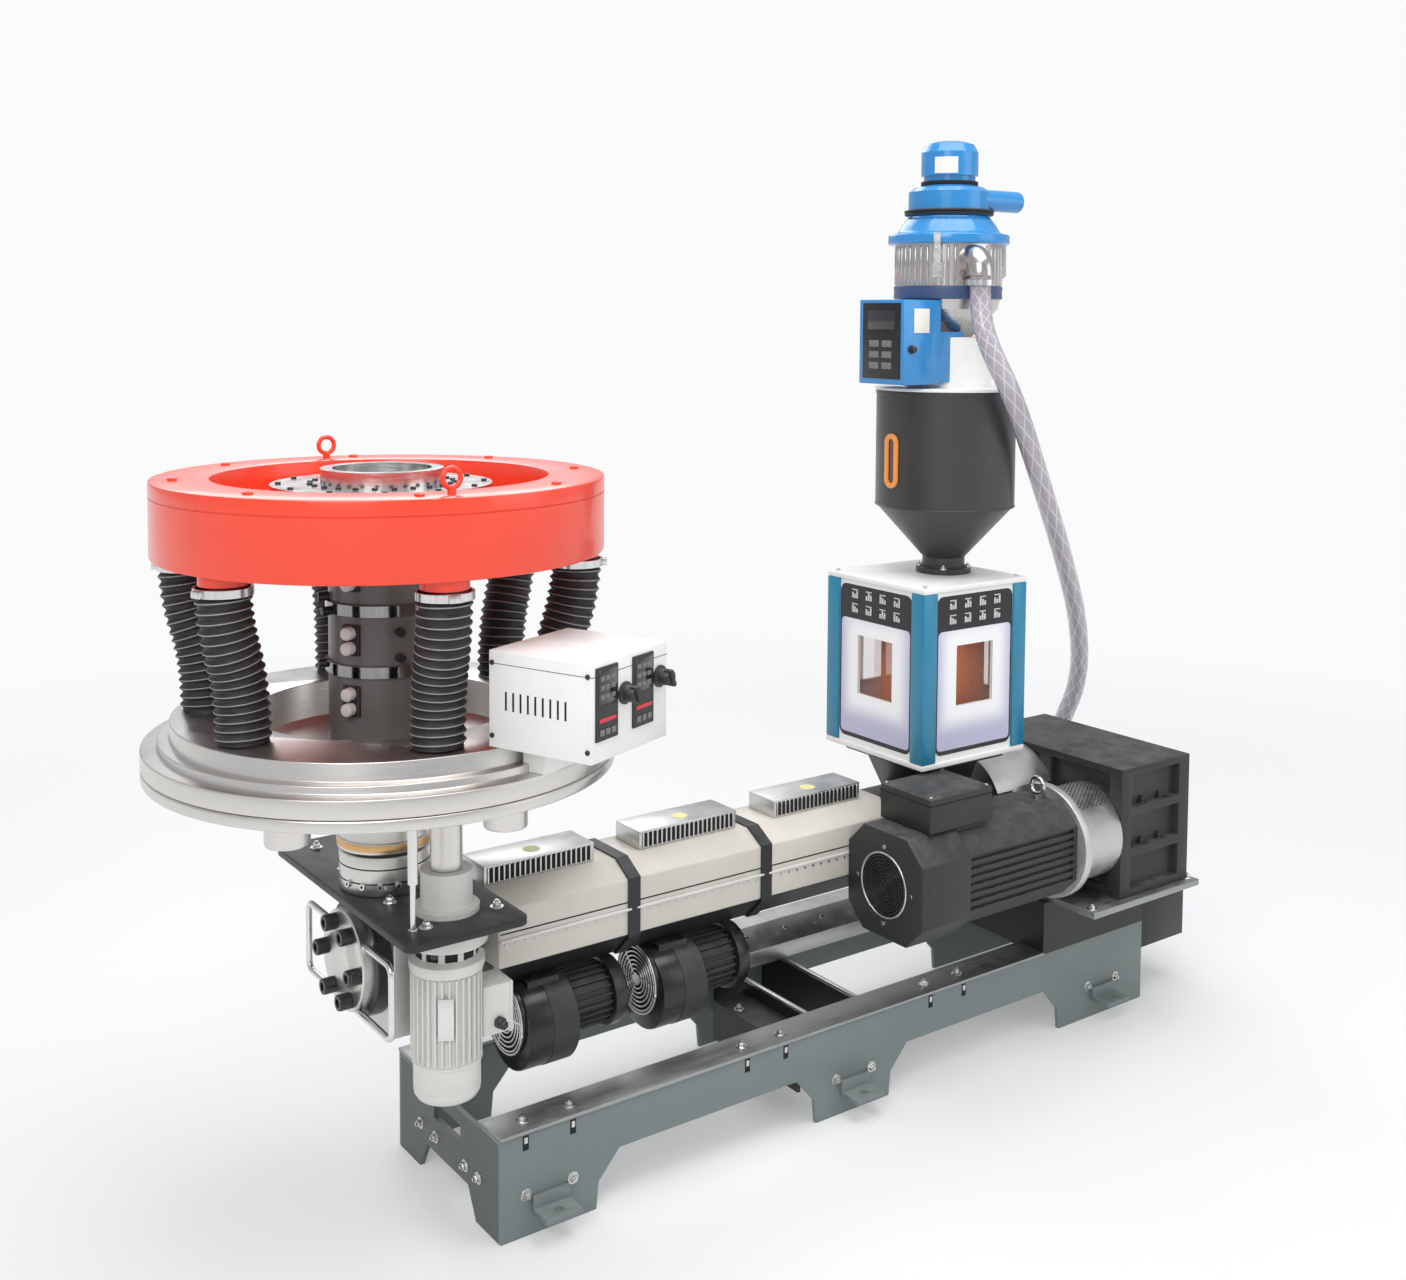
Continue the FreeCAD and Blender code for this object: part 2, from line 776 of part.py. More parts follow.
def hopper():
    """Round hopper: cylinder, cone, short neck and base flange, open inside."""
    base = window_top
    profile = [(hopper_neck_r - hopper_wall, base), (hopper_flange_r, base),
               (hopper_flange_r, base + hopper_flange_height), (hopper_neck_r, base + hopper_flange_height),
               (hopper_neck_r, hopper_cone_z), (hopper_r, hopper_shoulder_z), (hopper_r, hopper_rim_z),
               (hopper_r - hopper_wall, hopper_rim_z), (hopper_r - hopper_wall, hopper_shoulder_z + 1),
               (hopper_neck_r - hopper_wall, hopper_cone_z + 1)]
    face = Part.Face(Part.makePolygon([V(hopper_x + r, 0, z) for r, z in profile + profile[:1]]))
    return face.revolve(V(hopper_x, 0, 0), Z_AXIS, 360)


def loader_base():
    """Hopper lid with the pale discharge section that carries the loader."""
    lid = pillar(hopper_x, 0, hopper_rim_z, hopper_rim_z + hopper_lid_thickness, hopper_r + 3)
    body = pillar(hopper_x, 0, hopper_rim_z + hopper_lid_thickness, loader_base_top, loader_base_r)
    return lid.fuse(body)


# ---- vacuum loader ----------------------------------------------------------------------------
def loader_chamber():
    """Stainless cylinder and funnel with the suction inlet stub."""
    profile = [(0, loader_base_top), (loader_bowl_r, loader_base_top),
               (loader_cylinder_r - 6, loader_cylinder_bottom - 26),
               (loader_cylinder_r, loader_cylinder_bottom), (loader_cylinder_r, loader_cylinder_top),
               (0, loader_cylinder_top)]
    face = Part.Face(Part.makePolygon([V(hopper_x + r, 0, z) for r, z in profile + profile[:1]]))
    body = face.revolve(V(hopper_x, 0, 0), Z_AXIS, 360)
    elbow, _ = bent_tube([hopper_polar(loader_cylinder_r - 20, inlet_angle_deg, inlet_z),
                          hopper_polar(loader_cylinder_r + inlet_reach, inlet_angle_deg, inlet_z),
                          hose_exit], [inlet_bend], inlet_r)
    return body.fuse(elbow)


def loader_lid():
    """Flanged blue lid with a low dome."""
    z0 = loader_cylinder_top
    z1 = z0 + loader_flange_height
    profile = [(0, z0), (loader_flange_r, z0), (loader_flange_r, z1), (loader_neck_r + 16, z1 + 4),
               (loader_neck_r + 8, z1 + 18), (loader_neck_r - 6, loader_dome_top), (0, loader_dome_top)]
    face = Part.Face(Part.makePolygon([V(hopper_x + r, 0, z) for r, z in profile + profile[:1]]))
    return face.revolve(V(hopper_x, 0, 0), Z_AXIS, 360)


def loader_blower():
    """Suction blower: housing with a side outlet pipe, slotted ring and domed motor cap."""
    cap_low = loader_housing_top + 22
    profile = [(0, loader_dome_top), (loader_housing_r, loader_dome_top),
               (loader_housing_r, loader_housing_top - 8), (loader_housing_r - 10, loader_housing_top),
               (loader_cap_r, loader_housing_top + 4), (loader_cap_r - 5, loader_housing_top + 6),
               (loader_cap_r - 5, cap_low), (loader_cap_r, cap_low), (loader_cap_r, loader_cap_top - 20),
               (loader_cap_r - 8, loader_cap_top - 5), (loader_cap_r - 24, loader_cap_top),
               (0, loader_cap_top)]
    face = Part.Face(Part.makePolygon([V(hopper_x + r, 0, z) for r, z in profile + profile[:1]]))
    body = face.revolve(V(hopper_x, 0, 0), Z_AXIS, 360)
    side = -loader_housing_r + outlet_r + 4
    pipe = rod((hopper_x, side, outlet_z), (hopper_x + loader_housing_r + outlet_length, side, outlet_z),
               outlet_r)
    return body.fuse(pipe)


def loader_latches():
    """Toggle latches that clamp the lid to the cylinder."""
    solids = []
    for degrees in latch_angles:
        r0 = loader_cylinder_r
        r1 = loader_flange_r - latch_arm
        keeper = box(r0 - 1, r1, -9, 9, loader_cylinder_top - 62, loader_cylinder_top - 36)
        arm = box(r1, loader_flange_r, -6, 6, loader_cylinder_top - 58, loader_cylinder_top + loader_flange_height)
        hook = box(loader_flange_r, loader_flange_r + latch_hook, -6, 6, loader_cylinder_top + 2,
                   loader_cylinder_top + loader_flange_height)
        latch = keeper.fuse([arm, hook])
        latch = latch.cut([pillar(0, 0, loader_cylinder_top, loader_cylinder_top + 40, loader_flange_r),
                           pillar(0, 0, loader_cylinder_bottom, loader_cylinder_top, loader_cylinder_r)])
        latch.rotate(V(0, 0, 0), Z_AXIS, degrees)
        latch.translate(V(hopper_x, 0, 0))
        solids.append(latch)
    return Part.makeCompound(solids)


def loader_control_box():
    """Loader's control box beside the discharge section, with its fixing bracket."""
    length, width, height = loader_box
    x1 = hopper_x - loader_base_r + 4
    z0 = loader_box_bottom
    near = loader_box_y
    case = box(x1 - length, x1, near, near + width, z0, z0 + height)
    arm = box(x1 - 4, x1 + loader_bracket[0], near, near + loader_bracket[1],
              z0 + 4, z0 + 4 + loader_bracket[2])
    keep = loader_box_clearance
    shoulder = loader_cylinder_bottom - 26
    bowl = Part.makeCone(loader_bowl_r + keep, loader_cylinder_r - 6 + keep, shoulder - loader_base_top,
                         V(hopper_x, 0, loader_base_top))
    body = case.fuse(arm)
    body = body.cut([pillar(hopper_x, 0, z0 - 1, loader_base_top, loader_base_r), bowl,
                     pillar(hopper_x, 0, shoulder, z0 + height + 1, loader_cylinder_r + keep)])
    return body.removeSplitter()


# ---- suction hose -------------------------------------------------------------------------------
hose_exit = hopper_polar(loader_cylinder_r + inlet_reach, inlet_angle_deg, inlet_z - inlet_drop)
coil_entry = (coil_centre[0] + coil_mean_r * math.cos(math.radians(coil_entry_deg)),
              coil_centre[1] + coil_mean_r * math.sin(math.radians(coil_entry_deg)), hose_od / 2)
hose_route = [hose_exit,
              (hose_exit[0], hose_exit[1], 1384.0),
              (1004.0, -142.0, 1318.0),
              (1043.0, -180.0, 1211.0),
              (1181.0, -120.0, 1053.0),
              (1327.0, -50.0, 898.0),
              (1477.0, 30.0, 728.0),
              (1579.0, 110.0, 572.0),
              (1604.0, 185.0, 452.0),
              (1598.0, 222.0, 332.0),
              (1586.0, 262.0, 216.0),
              (1574.0, 322.0, 118.0),
              (1564.0, 400.0, 50.0),
              coil_entry]


def suction_hose():
    """Clear hose from the inlet stub down to its coil."""
    bends = widest_bends(hose_route)
    tube, length = bent_tube(hose_route, bends, hose_od / 2)
    section = math.pi * (hose_od / 2) ** 2
    print("hose length", round(length), "volume ratio", round(tube.Volume / (section * length), 4))
    print("hose bends", [round(value) for value in bends])
    return tube


def hose_coil():
    """Solid outer shape of the hose's coil, lying on the floor."""
    x, y = coil_centre
    return ring(x, y, 0, coil_layers * hose_od, coil_mean_r + hose_od / 2, coil_mean_r - hose_od / 2)


def suction_lance():
    """Suction lance at the hose's far end, lying on the floor beside the coil."""
    x, y = lance_start
    return rod((x, y, lance_r), (x + lance_length, y, lance_r), lance_r)


# ---- die head: fixed part -------------------------------------------------------------------------
def flow_block():
    """Steel block that turns the melt up into the die."""
    body = box(block_start, block_end, -block_half_width, block_half_width, block_bottom, block_top)
    return body.fuse(pillar(die_x, 0, block_top, plate_bottom, adaptor_r))


def end_cap():
    """Round end cap on a dark clamp ring, with a circle of cap screws."""
    face = block_start
    clamp = rod((face - cap_ring_thickness, 0, axis_z), (face, 0, axis_z), cap_ring_r)
    front = face - cap_ring_thickness
    cap = rod((front - cap_thickness, 0, axis_z), (front, 0, axis_z), cap_r)
    screws = []
    for index in range(cap_bolt_count):
        angle = math.radians(cap_bolt_offset_deg + 360 * index / cap_bolt_count)
        y = cap_bolt_circle * math.cos(angle)
        z = axis_z + cap_bolt_circle * math.sin(angle)
        screws.append(rod((front - cap_thickness - cap_bolt_head, y, z), (front, y, z), cap_bolt_r))
    return clamp.fuse([cap] + screws)


def cap_handles():
    """Two bent-rod pull handles welded to the sides of the end cap."""
    x = block_start - cap_ring_thickness - cap_thickness / 2
    low = axis_z - handle_drop - handle_span / 2
    high = low + handle_span
    cap = rod((x - cap_thickness, 0, axis_z), (x + cap_thickness, 0, axis_z), cap_r)
    solids = []
    for side in (-1, 1):
        outer = side * handle_half_width
        grip, _ = bent_tube([(x, 0, high), (x, outer, high), (x, outer, low), (x, 0, low)],
                            [handle_bend, handle_bend], handle_rod_r)
        solids.append(grip.cut(cap))
    return Part.makeCompound(solids)


def support_plate():
    """Black plate that carries the die head and the table drive."""
    plate = box(plate_start, plate_end, -plate_half_width, plate_half_width,
                plate_bottom, plate_bottom + plate_thickness)
    upright = [edge for edge in plate.Edges if abs(edge.tangentAt(edge.FirstParameter).z) > 0.9]
    plate = plate.makeFillet(plate_corner, upright)
    plate = plate.cut(pillar(drive_x, drive_y, plate_bottom - 1, plate_bottom + 40, journal_r + 6))
    return plate


def die_adaptor():
    """Fixed adaptor on the plate, with the spigot that the die head turns on."""
    base = plate_bottom + plate_thickness
    body = pillar(die_x, 0, base, adaptor_top, adaptor_r)
    return body.fuse(pillar(die_x, 0, adaptor_top, base_disc_bottom - 10, spigot_r))


drive_radius = gear_module * (gear_teeth + pinion_teeth) / 2
drive_x, drive_y, _ = polar(drive_radius, drive_angle_deg)


def drive_motor():
    """Upright geared motor under the plate, with its bearing housing above it."""
    top = plate_bottom + plate_thickness
    pieces = [pillar(drive_x, drive_y, top, top + bearing_flange_height, bearing_flange_r),
              pillar(drive_x, drive_y, top, top + bearing_height, bearing_r)]
    bearing = pieces[0].fuse(pieces[1:])
    bearing = bearing.cut(pillar(drive_x, drive_y, top - 1, top + bearing_height + 1,
                                 journal_r + running_clearance))
    flange_low = plate_bottom - drive_flange_height
    flange = pillar(drive_x, drive_y, flange_low, plate_bottom, drive_flange_r)
    neck = pillar(drive_x, drive_y, drive_body_top, flange_low, drive_neck_r)
    body = pillar(drive_x, drive_y, drive_body_bottom, drive_body_top, drive_body_r)
    fan = pillar(drive_x, drive_y, drive_fan_bottom, drive_body_bottom, drive_fan_r)
    length, width, height = drive_box
    terminal = box(drive_x + 30, drive_x + 30 + length, drive_y - width / 2, drive_y + width / 2,
                   drive_body_bottom + 26, drive_body_bottom + 26 + height)
    motor = flange.fuse([neck, body, fan, terminal]).removeSplitter()
    return Part.makeCompound([bearing, motor])


def gear(x, y, z0, z1, teeth, phase_deg, thinning=0.46):
    """Spur gear with straight-flanked teeth, thinned so that a pair runs with backlash."""
    pitch_r = gear_module * teeth / 2
    tip_r = pitch_r + gear_module * 0.9
    root_r = pitch_r - gear_module * gear_root_gap
    step = 2 * math.pi / teeth
    outline = []
    for index in range(teeth):
        centre = math.radians(phase_deg) + index * step
        for offset, radius in ((-0.36, root_r), (-0.16, tip_r), (0.16, tip_r), (0.36, root_r)):
            angle = centre + offset * step * thinning / 0.5
            outline.append((x + radius * math.cos(angle), y + radius * math.sin(angle), z0))
    return prism(outline, V(0, 0, z1 - z0))


def drive_shaft():
    """Pinion shaft in the bearing housing, driving the table's gear."""
    top = plate_bottom + plate_thickness
    bottom = plate_bottom
    journal = pillar(drive_x, drive_y, bottom, top + bearing_height, journal_r)
    collar = pillar(drive_x, drive_y, top + bearing_height + face_gap, gear_bottom, shaft_r)
    neck = pillar(drive_x, drive_y, top + bearing_height, top + bearing_height + face_gap, journal_r)
    face_phase = drive_angle_deg + 180 + 180.0 / pinion_teeth
    pinion = gear(drive_x, drive_y, gear_bottom, gear_bottom + gear_face, pinion_teeth, face_phase)
    return journal.fuse([neck, collar, pinion]).removeSplitter()


def tie_rod():
    """Upright stop rod that holds the air inlet ring against turning, with its sleeve."""
    x, y = tie_place
    top = base_disc_bottom
    base = plate_bottom + plate_thickness
    bar = pillar(x, y, base, top, tie_rod_r)
    sleeve = pillar(x, y, base + 70, top - 12, tie_cylinder_r)
    foot = pillar(x, y, base, base + 6, tie_cylinder_r)
    return bar.fuse([sleeve, foot]).removeSplitter()


def table_base():
    """Fixed air inlet ring under the table, with hose stubs below it."""
    low, high = base_disc_bottom, base_disc_bottom + base_disc_thickness
    body = pillar(die_x, 0, low, high, base_disc_r)
    stubs = []
    for index in range(stub_count):
        x, y, _ = polar(stub_circle, stub_offset_deg + 360 * index / stub_count)
        stubs.append(pillar(x, y, low - stub_length, low, stub_r))
    body = body.fuse(stubs)
    return body.cut(pillar(die_x, 0, low - 1, high + 1, adaptor_r + running_clearance))


# ---- die head: turning part ----------------------------------------------------------------------
def turntable():
    """Stepped table with an open well, its neck, slip ring and gear below."""
    low = base_disc_bottom + base_disc_thickness + face_gap
    profile = [(0, low), (table_r, low), (table_r, table_rim_top), (table_mid_r, table_rim_top),
               (table_mid_r, table_mid_top), (table_step_r, table_mid_top), (table_step_r, table_top),
               (well_r, table_top), (well_r, well_floor), (0, well_floor)]
    face = Part.Face(Part.makePolygon([V(die_x + r, 0, z) for r, z in profile + profile[:1]]))
    body = face.revolve(V(die_x, 0, 0), Z_AXIS, 360)
    neck_low = adaptor_top + 5
    neck = pillar(die_x, 0, neck_low + slip_ring_height, low, adaptor_r)
    slip = pillar(die_x, 0, neck_low, neck_low + slip_ring_height, adaptor_r + 3)
    wheel = gear(die_x, 0, gear_bottom, gear_bottom + gear_face, gear_teeth, drive_angle_deg)
    body = body.fuse([neck, slip, wheel])
    return body.cut(pillar(die_x, 0, neck_low - 1, base_disc_bottom - 4, spigot_r + running_clearance))


def die_column():
    """Heated die column with clamp bands, and the wide die head on top of it."""
    pieces = [pillar(die_x, 0, well_floor, die_flange_bottom, column_r),
              pillar(die_x, 0, die_flange_bottom, die_flange_top, die_flange_r)]
    for level in column_band_levels:
        pieces.append(pillar(die_x, 0, level, level + column_band_height, column_band_r))
    return pieces[0].fuse(pieces[1:]).removeSplitter()


def die_lip():
    """Machined lip ring on its bolted disc."""
    disc = pillar(die_x, 0, die_flange_top, die_flange_top + lip_disc_thickness, die_flange_r)
    lip = pillar(die_x, 0, die_flange_top, lip_top, lip_r)
    body = disc.fuse(lip)
    return body.cut(pillar(die_x, 0, die_flange_top + lip_disc_thickness, lip_top + 1, lip_bore_r))


def air_ring():
    """Red cooling ring: high rim round a lower well floor, with hose stubs below."""
    rim = ring(die_x, 0, ring_bottom, ring_top, ring_r, ring_inner_r)
    floor = ring(die_x, 0, ring_bottom, ring_floor, ring_inner_r + 1, die_flange_r)
    body = rim.fuse(floor)
    stubs = []
    for degrees in air_hose_angles:
        x, y, _ = polar(air_hose_high_circle, degrees)
        stubs.append(pillar(x, y, ring_bottom - air_stub_height, ring_bottom, air_stub_r))
    return body.fuse(stubs)


def air_hoses():
    """Six ribbed hoses from the table up to the ring's stubs."""
    solids = []
    for degrees in air_hose_angles:
        low = polar(air_hose_low_circle, degrees, table_top)
        knee = polar(air_hose_low_circle, degrees, air_hose_knee)
        top = ring_bottom - air_stub_height
        high = polar(air_hose_high_circle, degrees, top - air_hose_collar * 0.6)
        body, _ = bent_tube([low, knee, high], [air_hose_bend], air_hose_r)
        collar = pillar(high[0], high[1], top - air_hose_collar, top, air_hose_r)
        solids.append(body.fuse(collar))
    return Part.makeCompound(solids)


def eye_bolts():
    """Two lifting eyes on the ring's rim."""
    solids = []
    for degrees in eye_bolt_angles:
        x, y, _ = polar(eye_bolt_circle, degrees)
        stem = pillar(x, y, ring_top, ring_top + 8, eye_bolt_rod + 2)
        eye = Part.makeTorus(eye_bolt_r, eye_bolt_rod, V(x, y, ring_top + 8 + eye_bolt_r), Y_AXIS)
        solids.append(stem.fuse(eye))
    return Part.makeCompound(solids)


def control_box():
    """Temperature control box at the table's edge, with the bracket that carries it."""
    x, y = box_centre
    half_width, half_depth = box_width / 2, box_depth / 2
    case = box(-half_width, half_width, -half_depth, half_depth, box_bottom, box_bottom + box_height)
    tray = box(-box_tray_width / 2, box_tray_width / 2, -30, half_depth - 4, box_bottom - box_tray, box_bottom)
    leg = box(-box_tray_width / 2, box_tray_width / 2, 26, half_depth - 20, table_rim_top,
              box_bottom - box_tray)
    body = case.fuse([tray, leg])
    body.rotate(V(0, 0, 0), Z_AXIS, box_turn_deg)
    body.translate(V(die_x + x, y, 0))
    return body.cut([pillar(die_x, 0, table_rim_top - 1, table_mid_top, table_mid_r),
                     pillar(die_x, 0, table_mid_top, table_top, table_step_r)])


pieces = {
    "side_beam_near": side_beam(-1),
    "side_beam_far": side_beam(1),
    "rail_plates": rail_plates(),
    "end_plates": end_plates(),
    "cross_members": cross_members(),
    "foot_lugs": foot_lugs(),
    "riser_walls": riser_walls(),
    "platform_plate": box(platform_start, platform_end, platform_near, platform_far,
                          platform_bottom, platform_bottom + platform_thickness),
    "rear_box": rear_box(),
    "barrel": barrel(),
    "barrel_covers": barrel_covers(),
    "cover_straps": cover_straps(),
    "vent_boxes": vent_boxes(),
    "barrel_tray": barrel_tray(),
    "blowers": blowers(),
    "wire_duct": wire_duct(),
    "motor_fan_housing": motor_fan_housing(),
    "motor_body": motor_body(),
    "motor_terminal_box": motor_terminal_box(),
    "coupling_housing": coupling_housing(),
    "motor_eye": motor_eye(),
    "gearbox": gearbox(),
    "thrust_guard": thrust_guard(),
    "feed_throat": feed_throat(),
    "window_box_plates": window_box_plates(),
    "window_box_posts": window_box_posts(),
    "window_panels": window_panels(),
    "window_panes": window_panes(),
    "feed_column": feed_column(),
    "hopper": hopper(),
    "loader_base": loader_base(),
    "loader_chamber": loader_chamber(),
    "loader_lid": loader_lid(),
    "loader_blower": loader_blower(),
    "loader_latches": loader_latches(),
    "loader_control_box": loader_control_box(),
    "flow_block": flow_block(),
    "end_cap": end_cap(),
    "cap_handles": cap_handles(),
    "support_plate": support_plate(),
    "die_adaptor": die_adaptor(),
    "drive_motor": drive_motor(),
    "drive_shaft": drive_shaft(),
    "tie_rod": tie_rod(),
    "table_base": table_base(),
    "turntable": turntable(),
    "die_column": die_column(),
    "die_lip": die_lip(),
    "air_ring": air_ring(),
    "air_hoses": air_hoses(),
    "eye_bolts": eye_bolts(),
    "control_box": control_box(),
}
cord_pieces = {
    "suction_hose": suction_hose(),
    "hose_coil": hose_coil(),
    "suction_lance": suction_lance(),
}

footprint = Part.makeCompound(list(pieces.values())).BoundBox
origin = V((footprint.XMin + footprint.XMax) / 2, (footprint.YMin + footprint.YMax) / 2, 0)
os.makedirs("parts", exist_ok=True)
for name, shape in {**pieces, **cord_pieces}.items():
    shape.translate(origin * -1)
    shape.exportStep("parts/" + name + ".step")
print("origin in the machine frame", [round(value, 3) for value in origin])
print("die axis", round(die_x - origin.x, 3), round(-origin.y, 3))
print("drive axis", round(drive_x - origin.x, 3), round(drive_y - origin.y, 3))
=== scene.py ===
# %% [markdown]
# # A blown-film extruder in Blender
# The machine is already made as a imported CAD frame. This script dresses it: it adds the camera, the light,
# the suction hose, the finishes and all the small parts that a CAD model leaves out, such as grilles,
# screws, ribs and dials. Each step first says what the real piece is and why it is made this way.

# %% Load the frame
import json
import math

import bpy
from mathutils import Euler, Matrix, Vector

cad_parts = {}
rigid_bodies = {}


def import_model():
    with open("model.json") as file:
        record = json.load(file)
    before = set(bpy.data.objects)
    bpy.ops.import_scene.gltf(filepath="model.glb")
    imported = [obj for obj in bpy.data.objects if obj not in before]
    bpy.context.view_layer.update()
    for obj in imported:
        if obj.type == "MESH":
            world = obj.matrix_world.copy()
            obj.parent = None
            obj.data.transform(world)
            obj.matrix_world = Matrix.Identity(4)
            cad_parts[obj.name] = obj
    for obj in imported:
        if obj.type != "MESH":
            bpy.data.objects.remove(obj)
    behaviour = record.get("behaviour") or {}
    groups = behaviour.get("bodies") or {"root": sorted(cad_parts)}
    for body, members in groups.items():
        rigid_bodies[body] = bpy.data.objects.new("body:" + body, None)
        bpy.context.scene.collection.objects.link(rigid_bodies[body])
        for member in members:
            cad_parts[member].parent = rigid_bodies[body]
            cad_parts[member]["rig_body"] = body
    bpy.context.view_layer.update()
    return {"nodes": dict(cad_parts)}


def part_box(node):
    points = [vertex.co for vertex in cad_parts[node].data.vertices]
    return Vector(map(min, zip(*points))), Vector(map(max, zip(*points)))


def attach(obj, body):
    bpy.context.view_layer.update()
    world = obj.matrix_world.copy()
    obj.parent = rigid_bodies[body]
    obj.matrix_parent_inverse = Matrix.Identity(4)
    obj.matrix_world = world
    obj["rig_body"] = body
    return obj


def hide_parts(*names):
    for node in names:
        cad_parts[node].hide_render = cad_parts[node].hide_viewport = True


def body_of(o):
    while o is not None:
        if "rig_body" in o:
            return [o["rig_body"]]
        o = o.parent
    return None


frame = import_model()

# %% [markdown]
# ## One set of axes
# The machine was designed in millimetres from the front end of its base frame, with the barrel's centre
# plane at y = 0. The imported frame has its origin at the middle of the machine, so one helper turns design
# millimetres into frame metres. Both shifts are read from the base beams, so nothing here can drift.

# %% Design millimetres to frame metres
near_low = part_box("side_beam_near")[0]
far_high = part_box("side_beam_far")[1]
front_x = near_low[0]
centre_y = (near_low[1] + far_high[1]) / 2


def at(x, y, z):
    """A point given in design millimetres, in the frame's metres."""
    return Vector((front_x + x / 1000, centre_y + y / 1000, z / 1000))


die_x = -100.0
barrel_z = 410.0
print("machine front at x =", round(front_x, 4), "centre plane at y =", round(centre_y, 4))

# %% [markdown]
# ## The camera
# It stands in front of the die head, to the motor's side, a little above the hopper's middle, and looks
# almost level. The picture is framed lower than the lens points, which is what a shift does: it keeps the
# uprights parallel.

# %% Camera
camera_data = bpy.data.cameras.new("view_camera")
camera = bpy.data.objects.new("view_camera", camera_data)
bpy.context.collection.objects.link(camera)
yaw, pitch, roll = math.radians(54.07), math.radians(-3.63), math.radians(0.37)
forward = Vector((math.cos(pitch) * math.cos(yaw), math.cos(pitch) * math.sin(yaw), math.sin(pitch)))
level_right = Vector((math.sin(yaw), -math.cos(yaw), 0))
level_up = level_right.cross(forward)
right = level_right * math.cos(roll) + level_up * math.sin(roll)
up = level_up * math.cos(roll) - level_right * math.sin(roll)
turn = Matrix((right, up, -forward)).transposed().to_4x4()
camera.matrix_world = Matrix.Translation(at(-1048.4, -2109.1, 1358.3)) @ turn
camera_data.sensor_width = 36.0
camera_data.lens = 39.72
camera_data.shift_y = -0.1605
camera_data.clip_end = 60
bpy.context.scene.camera = camera

# %% [markdown]
# ## The studio
# A product picture of this kind stands on paper that has no edge. The floor is a dull white near the machine
# and turns into the sky's own white further out, so that no horizon shows. The sky looks white to the camera
# but lights the machine more softly. A broad lamp on the left shapes the round parts, and two weaker ones
# lift the motor's side and the far edges.

# %% Studio
def wire(source, output, target, entry):
    """Links one node's output to another's input."""
    source.id_data.links.new(source.outputs[output], target.inputs[entry])


paper_white = (0.955, 0.96, 0.965, 1)
bpy.ops.object.select_all(action="DESELECT")
bpy.ops.mesh.primitive_plane_add(size=60, location=(0, 0, 0))
floor = bpy.context.object
floor.name = "studio_floor"
floor_finish = bpy.data.materials.new("studio_floor_finish")
floor_finish.use_nodes = True
floor_nodes, floor_links = floor_finish.node_tree.nodes, floor_finish.node_tree.links
floor_shader = floor_nodes["Principled BSDF"]
floor_shader.inputs["Base Color"].default_value = (0.80, 0.80, 0.805, 1)
floor_shader.inputs["Roughness"].default_value = 0.6
glow = floor_nodes.new("ShaderNodeEmission")
glow.inputs["Color"].default_value = paper_white
reach = floor_nodes.new("ShaderNodeVectorMath")
reach.operation = "LENGTH"
floor_links.new(floor_nodes.new("ShaderNodeTexCoord").outputs["Object"], reach.inputs[0])
fade = floor_nodes.new("ShaderNodeMapRange")
fade.interpolation_type = "SMOOTHSTEP"
fade.inputs["To Min"].default_value = 0.3
fade.inputs["From Min"].default_value = 1.0
fade.inputs["From Max"].default_value = 4.2
wire(reach, "Value", fade, "Value")
blend = floor_nodes.new("ShaderNodeMixShader")
wire(fade, "Result", blend, 0)
wire(floor_shader, "BSDF", blend, 1)
wire(glow, "Emission", blend, 2)
floor_links.new(blend.outputs["Shader"], floor_nodes["Material Output"].inputs["Surface"])
floor.data.materials.append(floor_finish)

world = bpy.data.worlds.new("studio_sky")
world.use_nodes = True
sky_nodes, sky_links = world.node_tree.nodes, world.node_tree.links
soft_sky = sky_nodes["Background"]
soft_sky.inputs["Color"].default_value = (0.93, 0.95, 1.0, 1)
soft_sky.inputs["Strength"].default_value = 0.55
seen_sky = sky_nodes.new("ShaderNodeBackground")
seen_sky.inputs["Color"].default_value = paper_white
sky_mix = sky_nodes.new("ShaderNodeMixShader")
sky_links.new(sky_nodes.new("ShaderNodeLightPath").outputs["Is Camera Ray"], sky_mix.inputs[0])
wire(soft_sky, "Background", sky_mix, 1)
wire(seen_sky, "Background", sky_mix, 2)
sky_links.new(sky_mix.outputs["Shader"], sky_nodes["World Output"].inputs["Surface"])
bpy.context.scene.world = world
bpy.context.scene.view_settings.view_transform = "Standard"


def soft_lamp(name, place, target, size, power):
    """A square area lamp that faces a target."""
    data = bpy.data.lights.new(name, "AREA")
    data.shape = "SQUARE"
    data.size = size
    data.energy = power
    lamp = bpy.data.objects.new(name, data)
    aim = (target - place).to_track_quat("-Z", "Y").to_matrix().to_4x4()
    lamp.matrix_world = Matrix.Translation(place) @ aim
    bpy.context.collection.objects.link(lamp)


machine_middle = at(600, 0, 700)
soft_lamp("top_lamp", Vector((0.1, -0.5, 4.3)), machine_middle, 3.2, 120)
soft_lamp("key_lamp", Vector((-2.8, -2.2, 3.0)), machine_middle, 2.0, 62)
soft_lamp("fill_lamp", Vector((2.6, -3.4, 2.2)), machine_middle, 2.6, 26)
soft_lamp("rim_lamp", Vector((0.8, 3.4, 3.2)), machine_middle, 2.4, 45)

# %% [markdown]
# ## Shared surface effects
# Three node groups are built once and reused: *worn_paint* varies the tone of a paint, roughens it in
# patches and scratches it thinly; *drawn_metal* lays fine streaks along one direction; *settled_dust*
# lightens what faces upwards. They put out colours and values only, so each material keeps its own shader.


